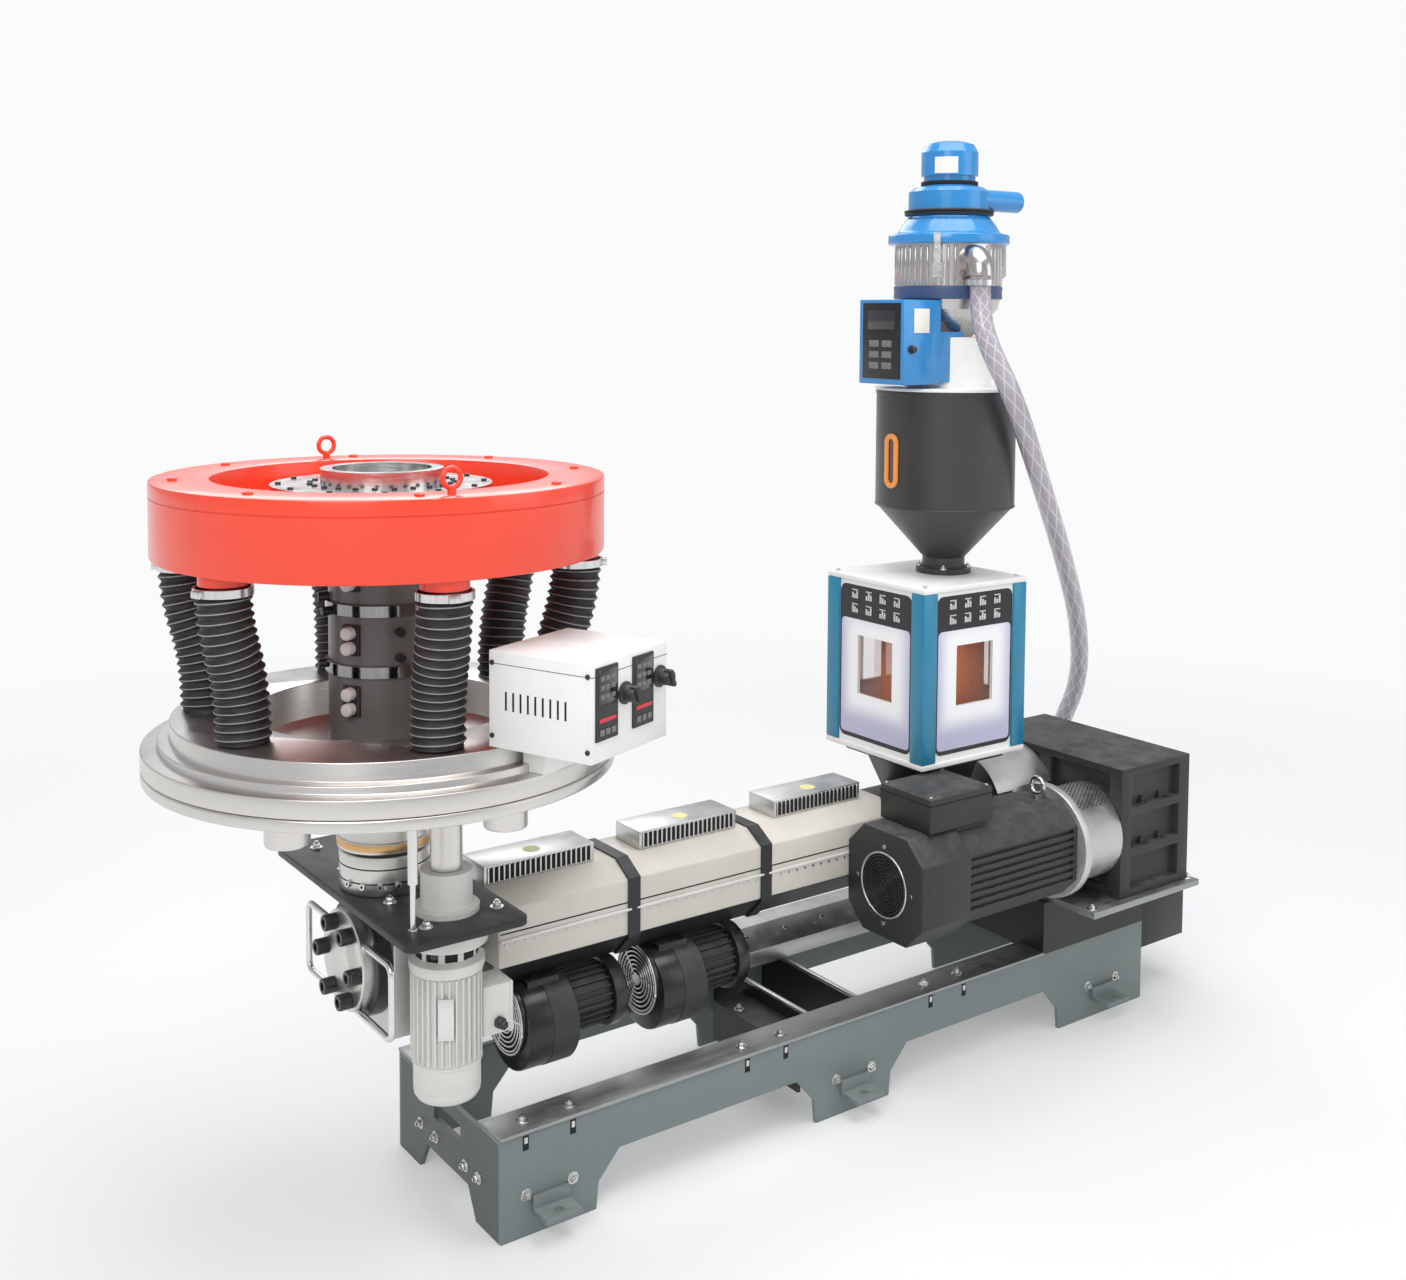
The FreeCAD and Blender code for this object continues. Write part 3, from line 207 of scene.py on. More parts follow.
# %% Node helpers
def group_with(name, inputs, outputs):
    """An empty shader group with its sockets."""
    group = bpy.data.node_groups.new(name, "ShaderNodeTree")
    for label, kind, value in inputs:
        socket = group.interface.new_socket(name=label, in_out="INPUT", socket_type="NodeSocket" + kind)
        if value is not None:
            socket.default_value = value
    for label, kind in outputs:
        group.interface.new_socket(name=label, in_out="OUTPUT", socket_type="NodeSocket" + kind)
    enter = group.nodes.new("NodeGroupInput")
    leave = group.nodes.new("NodeGroupOutput")
    return group, enter, leave


def node(tree, kind, inputs=None, **settings):
    """A node with its settings and its unlinked input values."""
    made = tree.nodes.new("ShaderNode" + kind)
    for key, value in settings.items():
        setattr(made, key, value)
    for key, value in (inputs or {}).items():
        made.inputs[key].default_value = value
    return made


def ramp(tree, low, high, low_value=0.0, high_value=1.0):
    """A clamped straight ramp on one value."""
    return node(tree, "MapRange", {"From Min": low, "From Max": high, "To Min": low_value, "To Max": high_value})


def mix_colour(tree, blend="MIX"):
    """A colour mix; inputs 0 is the factor, 6 and 7 are the colours, output 2 is the colour."""
    return node(tree, "Mix", data_type="RGBA", blend_type=blend)


# %% Worn paint group
worn_paint, enter, leave = group_with(
    "worn_paint",
    [("Vector", "Vector", None), ("Color", "Color", (0.5, 0.5, 0.5, 1)),
     ("Scuff Color", "Color", (0.2, 0.2, 0.2, 1)), ("Scuff", "Float", 0.2), ("Gloss", "Float", 0.35),
     ("Scale", "Float", 6.0)],
    [("Color", "Color"), ("Roughness", "Float"), ("Height", "Float")])
tree = worn_paint
cloud = node(tree, "TexNoise", {"Detail": 4.0, "Roughness": 0.6})
wire(enter, "Vector", cloud, "Vector")
wire(enter, "Scale", cloud, "Scale")
tone = ramp(tree, 0.3, 0.7, 0.94, 1.05)
wire(cloud, "Fac", tone, "Value")
shade = node(tree, "VectorMath", operation="SCALE")
wire(enter, "Color", shade, 0)
wire(tone, "Result", shade, "Scale")
stretch = node(tree, "Mapping", {"Scale": (90, 90, 7), "Rotation": (0.4, 0.9, 0.2)})
wire(enter, "Vector", stretch, "Vector")
scratch = node(tree, "TexNoise", {"Scale": 1.0, "Detail": 3.0, "Roughness": 0.7})
wire(stretch, "Vector", scratch, "Vector")
scratch_mask = ramp(tree, 0.66, 0.72)
wire(scratch, "Fac", scratch_mask, "Value")
amount = node(tree, "Math", operation="MULTIPLY")
wire(scratch_mask, "Result", amount, 0)
wire(enter, "Scuff", amount, 1)
worn = mix_colour(tree)
wire(amount, "Value", worn, 0)
wire(shade, "Vector", worn, 6)
wire(enter, "Scuff Color", worn, 7)
wire(worn, 2, leave, "Color")
patch = ramp(tree, 0.3, 0.75, -0.07, 0.1)
wire(cloud, "Fac", patch, "Value")
gloss = node(tree, "Math", operation="ADD")
wire(patch, "Result", gloss, 0)
wire(enter, "Gloss", gloss, 1)
wire(gloss, "Value", leave, "Roughness")
peel = node(tree, "TexNoise", {"Scale": 260.0, "Detail": 2.0})
wire(enter, "Vector", peel, "Vector")
dent = node(tree, "Math", {1: -0.6}, operation="MULTIPLY_ADD")
wire(amount, "Value", dent, 0)
wire(peel, "Fac", dent, 2)
wire(dent, "Value", leave, "Height")
print("group:", worn_paint.name)

# %% Drawn metal group
drawn_metal, enter, leave = group_with(
    "drawn_metal",
    [("Vector", "Vector", None), ("Color", "Color", (0.6, 0.6, 0.6, 1)), ("Streak", "Vector", (1, 1, 60)),
     ("Contrast", "Float", 0.12), ("Gloss", "Float", 0.3)],
    [("Color", "Color"), ("Roughness", "Float"), ("Height", "Float")])
tree = drawn_metal
lay = node(tree, "VectorMath", operation="MULTIPLY")
wire(enter, "Vector", lay, 0)
wire(enter, "Streak", lay, 1)
streaks = node(tree, "TexNoise", {"Scale": 8.0, "Detail": 5.0, "Roughness": 0.65})
wire(lay, "Vector", streaks, "Vector")
smear = node(tree, "TexNoise", {"Scale": 5.0, "Detail": 3.0})
wire(enter, "Vector", smear, "Vector")
both = node(tree, "Math", {1: 0.5}, operation="MULTIPLY_ADD")
wire(smear, "Fac", both, 0)
wire(streaks, "Fac", both, 2)
centred = node(tree, "Math", {1: 0.75}, operation="SUBTRACT")
wire(both, "Value", centred, 0)
swing = node(tree, "Math", {2: 1.0}, operation="MULTIPLY_ADD")
wire(centred, "Value", swing, 0)
wire(enter, "Contrast", swing, 1)
shade = node(tree, "VectorMath", operation="SCALE")
wire(enter, "Color", shade, 0)
wire(swing, "Value", shade, "Scale")
wire(shade, "Vector", leave, "Color")
rough = node(tree, "Math", {1: 0.35}, operation="MULTIPLY_ADD")
wire(centred, "Value", rough, 0)
wire(enter, "Gloss", rough, 2)
wire(rough, "Value", leave, "Roughness")
wire(streaks, "Fac", leave, "Height")

# %% Settled dust group
settled_dust, enter, leave = group_with(
    "settled_dust",
    [("Vector", "Vector", None), ("Color", "Color", (0.5, 0.5, 0.5, 1)), ("Roughness", "Float", 0.4),
     ("Amount", "Float", 0.25)],
    [("Color", "Color"), ("Roughness", "Float")])
tree = settled_dust
facing = node(tree, "NewGeometry")
split = node(tree, "SeparateXYZ")
wire(facing, "Normal", split, "Vector")
level = ramp(tree, 0.35, 0.95)
wire(split, "Z", level, "Value")
grit = node(tree, "TexNoise", {"Scale": 30.0, "Detail": 6.0, "Roughness": 0.7})
wire(enter, "Vector", grit, "Vector")
grit_mask = ramp(tree, 0.35, 0.75)
wire(grit, "Fac", grit_mask, "Value")
lie = node(tree, "Math", operation="MULTIPLY")
wire(level, "Result", lie, 0)
wire(grit_mask, "Result", lie, 1)
part = node(tree, "Math", operation="MULTIPLY")
wire(lie, "Value", part, 0)
wire(enter, "Amount", part, 1)
dusty = mix_colour(tree)
dusty.inputs[7].default_value = (0.42, 0.40, 0.37, 1)
wire(part, "Value", dusty, 0)
wire(enter, "Color", dusty, 6)
wire(dusty, 2, leave, "Color")
dull = node(tree, "Math", {1: 0.5}, operation="MULTIPLY_ADD")
wire(part, "Value", dull, 0)
wire(enter, "Roughness", dull, 2)
wire(dull, "Value", leave, "Roughness")


# %% Material makers
def new_finish(name):
    """A material with its shader and object coordinates."""
    finish = bpy.data.materials.new(name)
    finish.use_nodes = True
    tree = finish.node_tree
    return finish, tree, tree.nodes["Principled BSDF"], node(tree, "TexCoord").outputs["Object"]


def placed(tree, group, where, values):
    """A shader group placed in a material, fed with coordinates."""
    used = node(tree, "Group", node_tree=group)
    for key, value in values.items():
        used.inputs[key].default_value = value
    tree.links.new(where, used.inputs["Vector"])
    return used


def finish_surface(tree, shader, where, source, bump, distance, dust):
    """Dust over a group's colour, and its height as a bump."""
    film = placed(tree, settled_dust, where, {"Amount": dust})
    wire(source, "Color", film, "Color")
    wire(source, "Roughness", film, "Roughness")
    wire(film, "Color", shader, "Base Color")
    wire(film, "Roughness", shader, "Roughness")
    relief = node(tree, "Bump", {"Strength": bump, "Distance": distance})
    wire(source, "Height", relief, "Height")
    wire(relief, "Normal", shader, "Normal")


def painted(name, colour, gloss=0.35, scuff=0.12, scuff_colour=(0.25, 0.25, 0.25), coat=0.0, dust=0.12,
            bump=0.12):
    """Sprayed paint with tone changes, thin scratches and fine orange peel."""
    finish, tree, shader, where = new_finish(name)
    paint = placed(tree, worn_paint, where, {"Color": (*colour, 1), "Scuff Color": (*scuff_colour, 1),
                                             "Scuff": scuff, "Gloss": gloss})
    finish_surface(tree, shader, where, paint, bump, 0.0006, dust)
    shader.inputs["Coat Weight"].default_value = coat
    shader.inputs["Coat Roughness"].default_value = 0.12
    return finish


def metal(name, colour, streak, contrast=0.25, gloss=0.3, dust=0.06, bump=0.15):
    """Bare metal with machining or drawing streaks."""
    finish, tree, shader, where = new_finish(name)
    drawn = placed(tree, drawn_metal, where, {"Color": (*colour, 1), "Streak": streak,
                                              "Contrast": contrast, "Gloss": gloss})
    finish_surface(tree, shader, where, drawn, bump, 0.0003, dust)
    shader.inputs["Metallic"].default_value = 1.0
    return finish


# %% Finishes
base_grey = painted("base_grey_paint", (0.165, 0.20, 0.195), gloss=0.42, scuff=0.2, dust=0.2)
front_grey = painted("front_plate_paint", (0.085, 0.095, 0.09), gloss=0.4, scuff=0.25, dust=0.2)
cover_grey = painted("barrel_cover_paint", (0.60, 0.57, 0.51), gloss=0.36, scuff=0.1, dust=0.1)
# Near-black paint: the real colour of the cross members, straps, tray, feed throat and support plate, and painted
# shade on the riser walls, the rear box and in screw sockets.
black_and_shade = painted("deep_black_paint", (0.012, 0.013, 0.013), gloss=0.42, scuff=0.15,
                     scuff_colour=(0.12, 0.12, 0.12), dust=0.12)
motor_black = painted("motor_black_paint", (0.022, 0.023, 0.024), gloss=0.5, scuff=0.12,
                      scuff_colour=(0.14, 0.14, 0.14), dust=0.2, bump=0.3)
panel_white = painted("panel_white_paint", (0.80, 0.80, 0.775), gloss=0.4, scuff=0.08,
                      scuff_colour=(0.45, 0.44, 0.42), dust=0.05)
pump_blue = painted("pump_blue_paint", (0.022, 0.235, 0.56), gloss=0.22, scuff=0.05, coat=0.4, dust=0.05)
post_blue = painted("post_blue_paint", (0.012, 0.20, 0.34), gloss=0.3, scuff=0.08, coat=0.2, dust=0.05)
tube_orange = painted("tube_orange_paint", (0.95, 0.26, 0.085), gloss=0.35, scuff=0.08, dust=0.05)
hopper_black = painted("hopper_black_paint", (0.035, 0.037, 0.038), gloss=0.36, scuff=0.1,
                       scuff_colour=(0.16, 0.16, 0.16), dust=0.1)
ring_red = painted("ring_red_paint", (0.82, 0.055, 0.02), gloss=0.3, scuff=0.05,
                   scuff_colour=(0.5, 0.1, 0.06), coat=0.35, dust=0.08)
column_grey = painted("column_grey_paint", (0.16, 0.155, 0.15), gloss=0.34, scuff=0.1, dust=0.05)
zinc_sheet = metal("zinc_sheet", (0.66, 0.66, 0.65), (3, 3, 3), contrast=0.35, gloss=0.38)
rail_zinc = metal("rail_zinc", (0.36, 0.37, 0.37), (1.5, 14, 14), contrast=0.5, gloss=0.42, dust=0.3)
turned_steel = metal("turned_steel", (0.68, 0.66, 0.63), (2, 2, 170), contrast=0.22, gloss=0.32, dust=0.05)
bright_steel = metal("bright_steel", (0.72, 0.72, 0.71), (4, 4, 30), contrast=0.15, gloss=0.2)
stainless = metal("stainless_sheet", (0.56, 0.54, 0.52), (40, 40, 1.2), contrast=0.5, gloss=0.24)
aluminium = metal("cast_aluminium", (0.62, 0.62, 0.61), (6, 6, 6), contrast=0.2, gloss=0.45, bump=0.3)
brass = metal("brass_band", (0.68, 0.42, 0.18), (4, 4, 60), contrast=0.2, gloss=0.35)
rubber = painted("black_rubber", (0.012, 0.012, 0.012), gloss=0.6, scuff=0.1,
                 scuff_colour=(0.08, 0.08, 0.08), dust=0.15)

finishes = {
    "side_beam_near": base_grey, "side_beam_far": base_grey, "rail_plates": rail_zinc, "end_plates": front_grey,
    # riser_walls and rear_box take the near-black paint as painted shade: it stands for the shadow under the
    # platform, not their own colour.
    "cross_members": black_and_shade, "foot_lugs": base_grey, "riser_walls": black_and_shade, "platform_plate": rail_zinc,
    "rear_box": black_and_shade, "barrel": turned_steel, "barrel_covers": cover_grey, "barrel_tray": black_and_shade,
    "cover_straps": black_and_shade, "vent_boxes": zinc_sheet, "blowers": motor_black, "wire_duct": zinc_sheet,
    "motor_fan_housing": motor_black, "motor_body": motor_black, "motor_terminal_box": motor_black,
    "coupling_housing": aluminium, "motor_eye": bright_steel, "gearbox": motor_black, "thrust_guard": zinc_sheet,
    "feed_throat": black_and_shade, "window_box_plates": panel_white, "window_box_posts": post_blue,
    "window_panels": panel_white, "feed_column": tube_orange, "hopper": hopper_black,
    "loader_base": panel_white,
    "loader_chamber": stainless, "loader_lid": pump_blue, "loader_blower": pump_blue,
    "loader_latches": bright_steel,
    "loader_control_box": pump_blue, "suction_lance": stainless, "flow_block": aluminium, "end_cap": turned_steel,
    "cap_handles": bright_steel, "support_plate": black_and_shade, "die_adaptor": turned_steel,
    "drive_motor": aluminium, "drive_shaft": turned_steel, "tie_rod": bright_steel, "table_base": turned_steel,
    "turntable": turned_steel, "die_column": column_grey, "die_lip": bright_steel, "air_ring": ring_red,
    "air_hoses": rubber, "eye_bolts": ring_red, "control_box": panel_white,
}


def dress(name, finish):
    """Gives a CAD node its finish."""
    piece = frame["nodes"][name]
    piece.data.materials.clear()
    piece.data.materials.append(finish)


for name, finish in finishes.items():
    dress(name, finish)
print("dressed", len(finishes), "CAD nodes")

# %% [markdown]
# ## Modelling helpers
# Round parts are turned from one disc, extruded and scaled along an outline, as on a lathe. Flat parts start
# as a block and get their edges rounded by a bevel. Each helper works in millimetres and leaves the finished
# place in the mesh, so that every object stays at the origin, as the CAD nodes do.


# %% Modelling helpers
def alone(piece):
    """Selects and activates one piece only."""
    bpy.ops.object.select_all(action="DESELECT")
    piece.select_set(True)
    bpy.context.view_layer.objects.active = piece


def stand(piece, place):
    """Moves a piece's place into its mesh."""
    piece.matrix_world = place
    alone(piece)
    bpy.ops.object.transform_apply(location=True, rotation=True, scale=True)
    return piece


def turned_by(degrees, axis="Z"):
    """A turn about one axis, in degrees."""
    return Matrix.Rotation(math.radians(degrees), 4, axis)


def facing(point, direction, spin=0.0):
    """The place of a piece that stands on a design point with its own +Z along a direction."""
    turn = Vector(direction).to_track_quat("Z", "Y").to_matrix().to_4x4()
    return Matrix.Translation(at(*point)) @ turn @ turned_by(spin)


def upright(point, spin=0.0):
    """The place of a piece that stands upright on a design point."""
    return Matrix.Translation(at(*point)) @ turned_by(spin)


def soften(piece, width, segments=2, angle=38):
    """Rounds a piece's sharp edges by a width in millimetres and smooths its shading."""
    alone(piece)
    if width:
        rounding = piece.modifiers.new("rounding", "BEVEL")
        rounding.width = width / 1000
        rounding.segments = segments
        rounding.limit_method = "ANGLE"
        rounding.angle_limit = math.radians(angle)
        bpy.ops.object.modifier_apply(modifier="rounding")
    bpy.ops.object.shade_smooth_by_angle(angle=math.radians(36))
    return piece


def block(name, low, high, finish, rounding=0.8, segments=2):
    """A box between two corners in millimetres, about its own origin."""
    bpy.ops.object.select_all(action="DESELECT")
    middle = [(a + b) / 2000 for a, b in zip(low, high)]
    bpy.ops.mesh.primitive_cube_add(size=1, location=middle)
    piece = bpy.context.object
    piece.name = name
    piece.scale = [abs(b - a) / 1000 for a, b in zip(low, high)]
    bpy.ops.object.transform_apply(location=True, rotation=True, scale=True)
    piece.data.materials.append(finish)
    return soften(piece, rounding, segments)


def block_at(name, low, high, finish, rounding=0.8, segments=2):
    """A box between two design corners."""
    return stand(block(name, low, high, finish, rounding, segments), Matrix.Translation(at(0, 0, 0)))


def turned(name, outline, finish, sides=48, hollow=False, smooth=36):
    """A round piece about its own Z axis, from an outline of (radius, height) in millimetres."""
    bpy.ops.object.select_all(action="DESELECT")
    fill = "NOTHING" if hollow else "NGON"
    bpy.ops.mesh.primitive_circle_add(vertices=sides, radius=outline[0][0] / 1000, fill_type=fill,
                                      location=(0, 0, outline[0][1] / 1000))
    piece = bpy.context.object
    piece.name = name
    bpy.ops.object.transform_apply(location=True)
    bpy.ops.object.mode_set(mode="EDIT")
    bpy.ops.mesh.select_all(action="SELECT")
    for before, after in zip(outline, outline[1:]):
        if hollow:
            bpy.ops.mesh.extrude_edges_move()
        else:
            bpy.ops.mesh.extrude_region_move()
        bpy.ops.transform.translate(value=(0, 0, (after[1] - before[1]) / 1000))
        grown = after[0] / before[0]
        bpy.ops.transform.resize(value=(grown, grown, 1), center_override=(0, 0, 0))
    bpy.ops.mesh.select_all(action="SELECT")
    bpy.ops.mesh.remove_doubles(threshold=0.00001)
    bpy.ops.mesh.normals_make_consistent(inside=False)
    bpy.ops.object.mode_set(mode="OBJECT")
    piece.data.materials.append(finish)
    alone(piece)
    bpy.ops.object.shade_smooth_by_angle(angle=math.radians(smooth))
    return piece


def hoop(name, radii, heights, ease, finish, sides=96):
    """A flat ring from (inner, edge, outer) radii and (low, high) heights, with eased outer edges."""
    (inner, edge, outer), (low, high) = radii, heights
    outline = [(edge, low), (outer, low + ease), (outer, high - ease), (edge, high), (inner, high), (inner, low),
               (edge, low)]
    return turned(name, outline, finish, sides=sides, hollow=True)


def joined(name, parts):
    """Joins parts into one piece and keeps their materials."""
    bpy.ops.object.select_all(action="DESELECT")
    for part_piece in parts:
        part_piece.select_set(True)
    bpy.context.view_layer.objects.active = parts[0]
    if len(parts) > 1:
        bpy.ops.object.join()
    parts[0].name = name
    return parts[0]


def copies(name, master, places):
    """One piece made of placed copies of a master, which is removed."""
    made = []
    for place in places:
        copy = master.copy()
        copy.data = master.data.copy()
        bpy.context.collection.objects.link(copy)
        made.append(stand(copy, place))
    bpy.data.objects.remove(master)
    return joined(name, made)


def mount(piece, body, replaced=None):
    """Says which body a piece rides on and hides the CAD node it stands in for."""
    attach(piece, body)
    if replaced:
        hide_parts(replaced)


def rounded_copy(name, width, segments=2):
    """Stands in for a CAD node with the same shape, its sharp edges rounded."""
    source = frame["nodes"][name]
    piece = bpy.data.objects.new(name + "_shape", source.data.copy())
    bpy.context.collection.objects.link(piece)
    piece.matrix_world = source.matrix_world
    alone(piece)
    bpy.ops.object.mode_set(mode="EDIT")
    bpy.ops.mesh.select_all(action="SELECT")
    bpy.ops.mesh.remove_doubles(threshold=0.00002)
    bpy.ops.mesh.dissolve_limited(angle_limit=math.radians(0.6))
    bpy.ops.object.mode_set(mode="OBJECT")
    soften(piece, width, segments)
    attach(piece, body_of(source)[0])
    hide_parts(name)
    return piece


# %% [markdown]
# ## Rounded edges on the big pieces
# Sheet metal, castings and turned plates never end in a perfect edge, and the thin bright line along an edge
# is what tells the eye its size. The CAD pieces are kept but hidden, and a copy with a small bevel
# stands in for each in the picture. The CAD pieces are kept for collision, and a copy with a small bevel
# stands in for each in the picture.

# %% Rounded edges
edge_widths = {
    "side_beam_near": 1.2, "side_beam_far": 1.2, "rail_plates": 0.8, "platform_plate": 1.2, "foot_lugs": 1.0,
    "barrel_covers": 2.5, "wire_duct": 1.2, "motor_fan_housing": 3.0, "gearbox": 3.0,
    "support_plate": 1.5, "flow_block": 2.0, "window_box_plates": 1.5, "window_box_posts": 2.0,
    "turntable": 1.6, "table_base": 2.5, "control_box": 1.2, "loader_control_box": 2.0, "motor_terminal_box": 3.0,
    "loader_lid": 2.5, "loader_base": 1.5, "rear_box": 2.0, "coupling_housing": 1.5, "feed_throat": 2.0,
    "die_adaptor": 1.5,
}
for name, width in edge_widths.items():
    rounded_copy(name, width)
print("rounded copies:", len(edge_widths))

# %% [markdown]
# ## The suction hose
# The loader sucks pellets through a clear hose with a braided ply, 38 mm thick. It hangs from the inlet
# elbow, swings out past the gearbox, and lies coiled behind the machine with a steel lance on its end. A
# curve suits it, because a hose is a line with a thickness. Its shown part repeats the CAD route, and the
# coil's turns come from a loop.

# %% Hose finish
hose_clear, tree, shader, where = new_finish("clear_braided_hose")
flow_uv = node(tree, "TexCoord").outputs["UV"]
axes = node(tree, "SeparateXYZ")
tree.links.new(flow_uv, axes.inputs["Vector"])
stripes = []
for lean in (1, -1):
    along = node(tree, "Math", {1: 420.0}, operation="MULTIPLY")
    wire(axes, "X", along, 0)
    around = node(tree, "Math", {1: 12.0 * lean}, operation="MULTIPLY_ADD")
    wire(axes, "Y", around, 0)
    wire(along, "Value", around, 2)
    wave = node(tree, "Math", {1: 1.0, 2: 0.0}, operation="PINGPONG")
    wire(around, "Value", wave, 0)
    thin = ramp(tree, 0.80, 0.95)
    wire(wave, "Value", thin, "Value")
    stripes.append(thin)
braid = node(tree, "Math", operation="MAXIMUM")
wire(stripes[0], "Result", braid, 0)
wire(stripes[1], "Result", braid, 1)
tint = mix_colour(tree)
tint.inputs[6].default_value = (0.52, 0.48, 0.53, 1)
tint.inputs[7].default_value = (0.80, 0.78, 0.81, 1)
wire(braid, "Value", tint, 0)
wire(tint, 2, shader, "Base Color")
relief = node(tree, "Bump", {"Strength": 0.25, "Distance": 0.0005})
wire(braid, "Value", relief, "Height")
wire(relief, "Normal", shader, "Normal")
shader.inputs["Roughness"].default_value = 0.14
shader.inputs["Transmission Weight"].default_value = 0.35
shader.inputs["IOR"].default_value = 1.45
shader.inputs["Coat Weight"].default_value = 0.5

# %% Hose route
hose_r = 19.0
inlet_mouth = (1006.0, -124.8, 1434.0)
route = [inlet_mouth, (1006, -124.8, 1384), (1004, -142, 1318), (1043, -180, 1211), (1181, -120, 1053),
         (1327, -50, 898), (1477, 30, 728), (1579, 110, 572), (1604, 185, 452), (1598, 222, 332),
         (1586, 262, 216), (1574, 322, 118), (1564, 400, 50)]
coil_x, coil_y, coil_r = 1800.0, 420.0, 247.0
entry_deg = 165
turn_step = 15
last_deg = 90 - 720
coil = []
for degrees in range(entry_deg, last_deg - 1, -turn_step):
    gone = entry_deg - degrees
    inward = min(max((gone - 300) / 60, 0), 1) - min(max((gone - 660) / 60, 0), 1)
    lift = min(max((gone - 660) / 60, 0), 1)
    radius = coil_r - 2 * (hose_r + 1.5) * inward
    coil.append((coil_x + radius * math.cos(math.radians(degrees)),
                 coil_y + radius * math.sin(math.radians(degrees)), hose_r + 2 * (hose_r + 1) * lift))
tail = [(1862, 668, 66), (1915, 700, 38), (1955, 732, 21), (1990, 735, 20)]
route += coil + tail

# %% Hose curve
hose_data = bpy.data.curves.new("suction_hose_line", "CURVE")
hose_data.dimensions = "3D"
line = hose_data.splines.new("NURBS")
line.points.add(len(route) - 1)
for point, spot in zip(line.points, route):
    point.co = (*at(*spot), 1)
line.order_u = 3
line.use_endpoint_u = True
line.resolution_u = 8
hose_data.bevel_depth = hose_r / 1000
hose_data.bevel_resolution = 6
hose_data.use_fill_caps = True
hose_data.materials.append(hose_clear)
hose = bpy.data.objects.new("suction_hose_run", hose_data)
bpy.context.collection.objects.link(hose)
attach(hose, "machine")
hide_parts("suction_hose", "hose_coil")

# %% [markdown]
# ## Air hoses
# Six black hoses carry cooling air from the table to the ring. Each is a fabric tube round a pale steel
# spiral, so it shows a rib every 13 mm with the wire shining through at the crest. One rib is turned,
# arrayed and bent along a guide line, which keeps every rib square to the hose.

# %% Air hoses
hose_black = painted("hose_black_cloth", (0.012, 0.012, 0.013), gloss=0.55, scuff=0.25,
                     scuff_colour=(0.07, 0.07, 0.07), dust=0.2, bump=0.3)
spiral_wire = painted("hose_spiral_wire", (0.27, 0.265, 0.26), gloss=0.4, scuff=0.6,
                      scuff_colour=(0.05, 0.05, 0.05), dust=0.0)
band_steel = metal("band_steel", (0.70, 0.70, 0.70), (30, 30, 2), contrast=0.6, gloss=0.22)
rib_pitch = 12.8
rib_outline = [(34.4, 0), (33.4, 2.2), (34.4, 4.4), (36.6, 6.8), (37.6, 7.9), (37.9, 8.7), (37.6, 9.5),
               (36.4, 10.6), (34.4, 12.8)]
hose_angles = (19, 82, 150, 199, 262, 330)
table_z, knee_z, clamp_z = 781.0, 912.0, 986.0
low_circle, high_circle = 254.0, 284.0


def about_die(radius, degrees, z):
    """A design point on a circle round the die's axis."""
    angle = math.radians(degrees)
    return (die_x + radius * math.cos(angle), radius * math.sin(angle), z)


def off_die(radius, degrees, z):
    """The place of a piece that stands out from the die's axis."""
    angle = math.radians(degrees)
    return facing(about_die(radius, degrees, z), (math.cos(angle), math.sin(angle), 0))


ribbed = []
clamps = []
for index, degrees in enumerate(hose_angles):
    rib = turned("rib", rib_outline, hose_black, sides=30, hollow=True, smooth=75)
    rib.data.materials.append(spiral_wire)
    for face in rib.data.polygons:
        face.material_index = 1 if 7.9 < face.center.z * 1000 < 9.4 else 0
    stand(rib, turned_by(4, "X"))
    guide_data = bpy.data.curves.new("hose_guide", "CURVE")
    guide_data.dimensions = "3D"
    guide = guide_data.splines.new("NURBS")
    guide.points.add(3)
    stops = [about_die(low_circle, degrees, table_z + 1), about_die(low_circle, degrees, knee_z - 60),
             about_die(high_circle, degrees, knee_z + 40), about_die(high_circle, degrees, 1000)]
    for point, stop in zip(guide.points, stops):
        point.co = (*at(*stop), 1)
    guide.order_u = 3
    guide.use_endpoint_u = True
    guide.resolution_u = 24
    guide_line = bpy.data.objects.new("hose_guide", guide_data)
    bpy.context.collection.objects.link(guide_line)
    count = round(guide.calc_length() * 1000 / rib_pitch)
    row = rib.modifiers.new("row", "ARRAY")
    row.count = count
    row.use_relative_offset = False
    row.use_constant_offset = True
    row.constant_offset_displace = (0, 0, rib_pitch / 1000)
    row.use_merge_vertices = True
    row.merge_threshold = 0.0002
    bend = rib.modifiers.new("bend", "CURVE")
    bend.object = guide_line
    bend.deform_axis = "POS_Z"
    alone(rib)
    bpy.ops.object.modifier_apply(modifier="row")
    bpy.ops.object.modifier_apply(modifier="bend")
    bpy.data.objects.remove(guide_line)
    ribbed.append(rib)
    clamps.append(upright(about_die(high_circle, degrees, clamp_z), degrees))
air_hose = joined("air_hose_set", ribbed)
mount(air_hose, "rotary_head", "air_hoses")
clamp = turned("clamp", [(38.2, 0), (39.6, 0.6), (39.6, 11.4), (38.2, 12), (36, 11.4), (36, 0.6), (38.2, 0)],
               band_steel, sides=40, hollow=True)
screw_housing = block("screw_housing", (38, -9, 1), (45, 9, 11), band_steel, 1.2)
clamp_set = copies("hose_clamps", joined("clamp", [clamp, screw_housing]), clamps)
mount(clamp_set, "rotary_head")
print("ribs per hose:", count)

# %% [markdown]
# ## Air ring and die lip
# The ring is a spun and welded box whose lid is screwed on, so a thin seam runs round it below the top. It
# is turned again here with that seam and rolled edges. The steel die plate inside is held by two circles
# of socket screws, and its lip stands up in the middle.

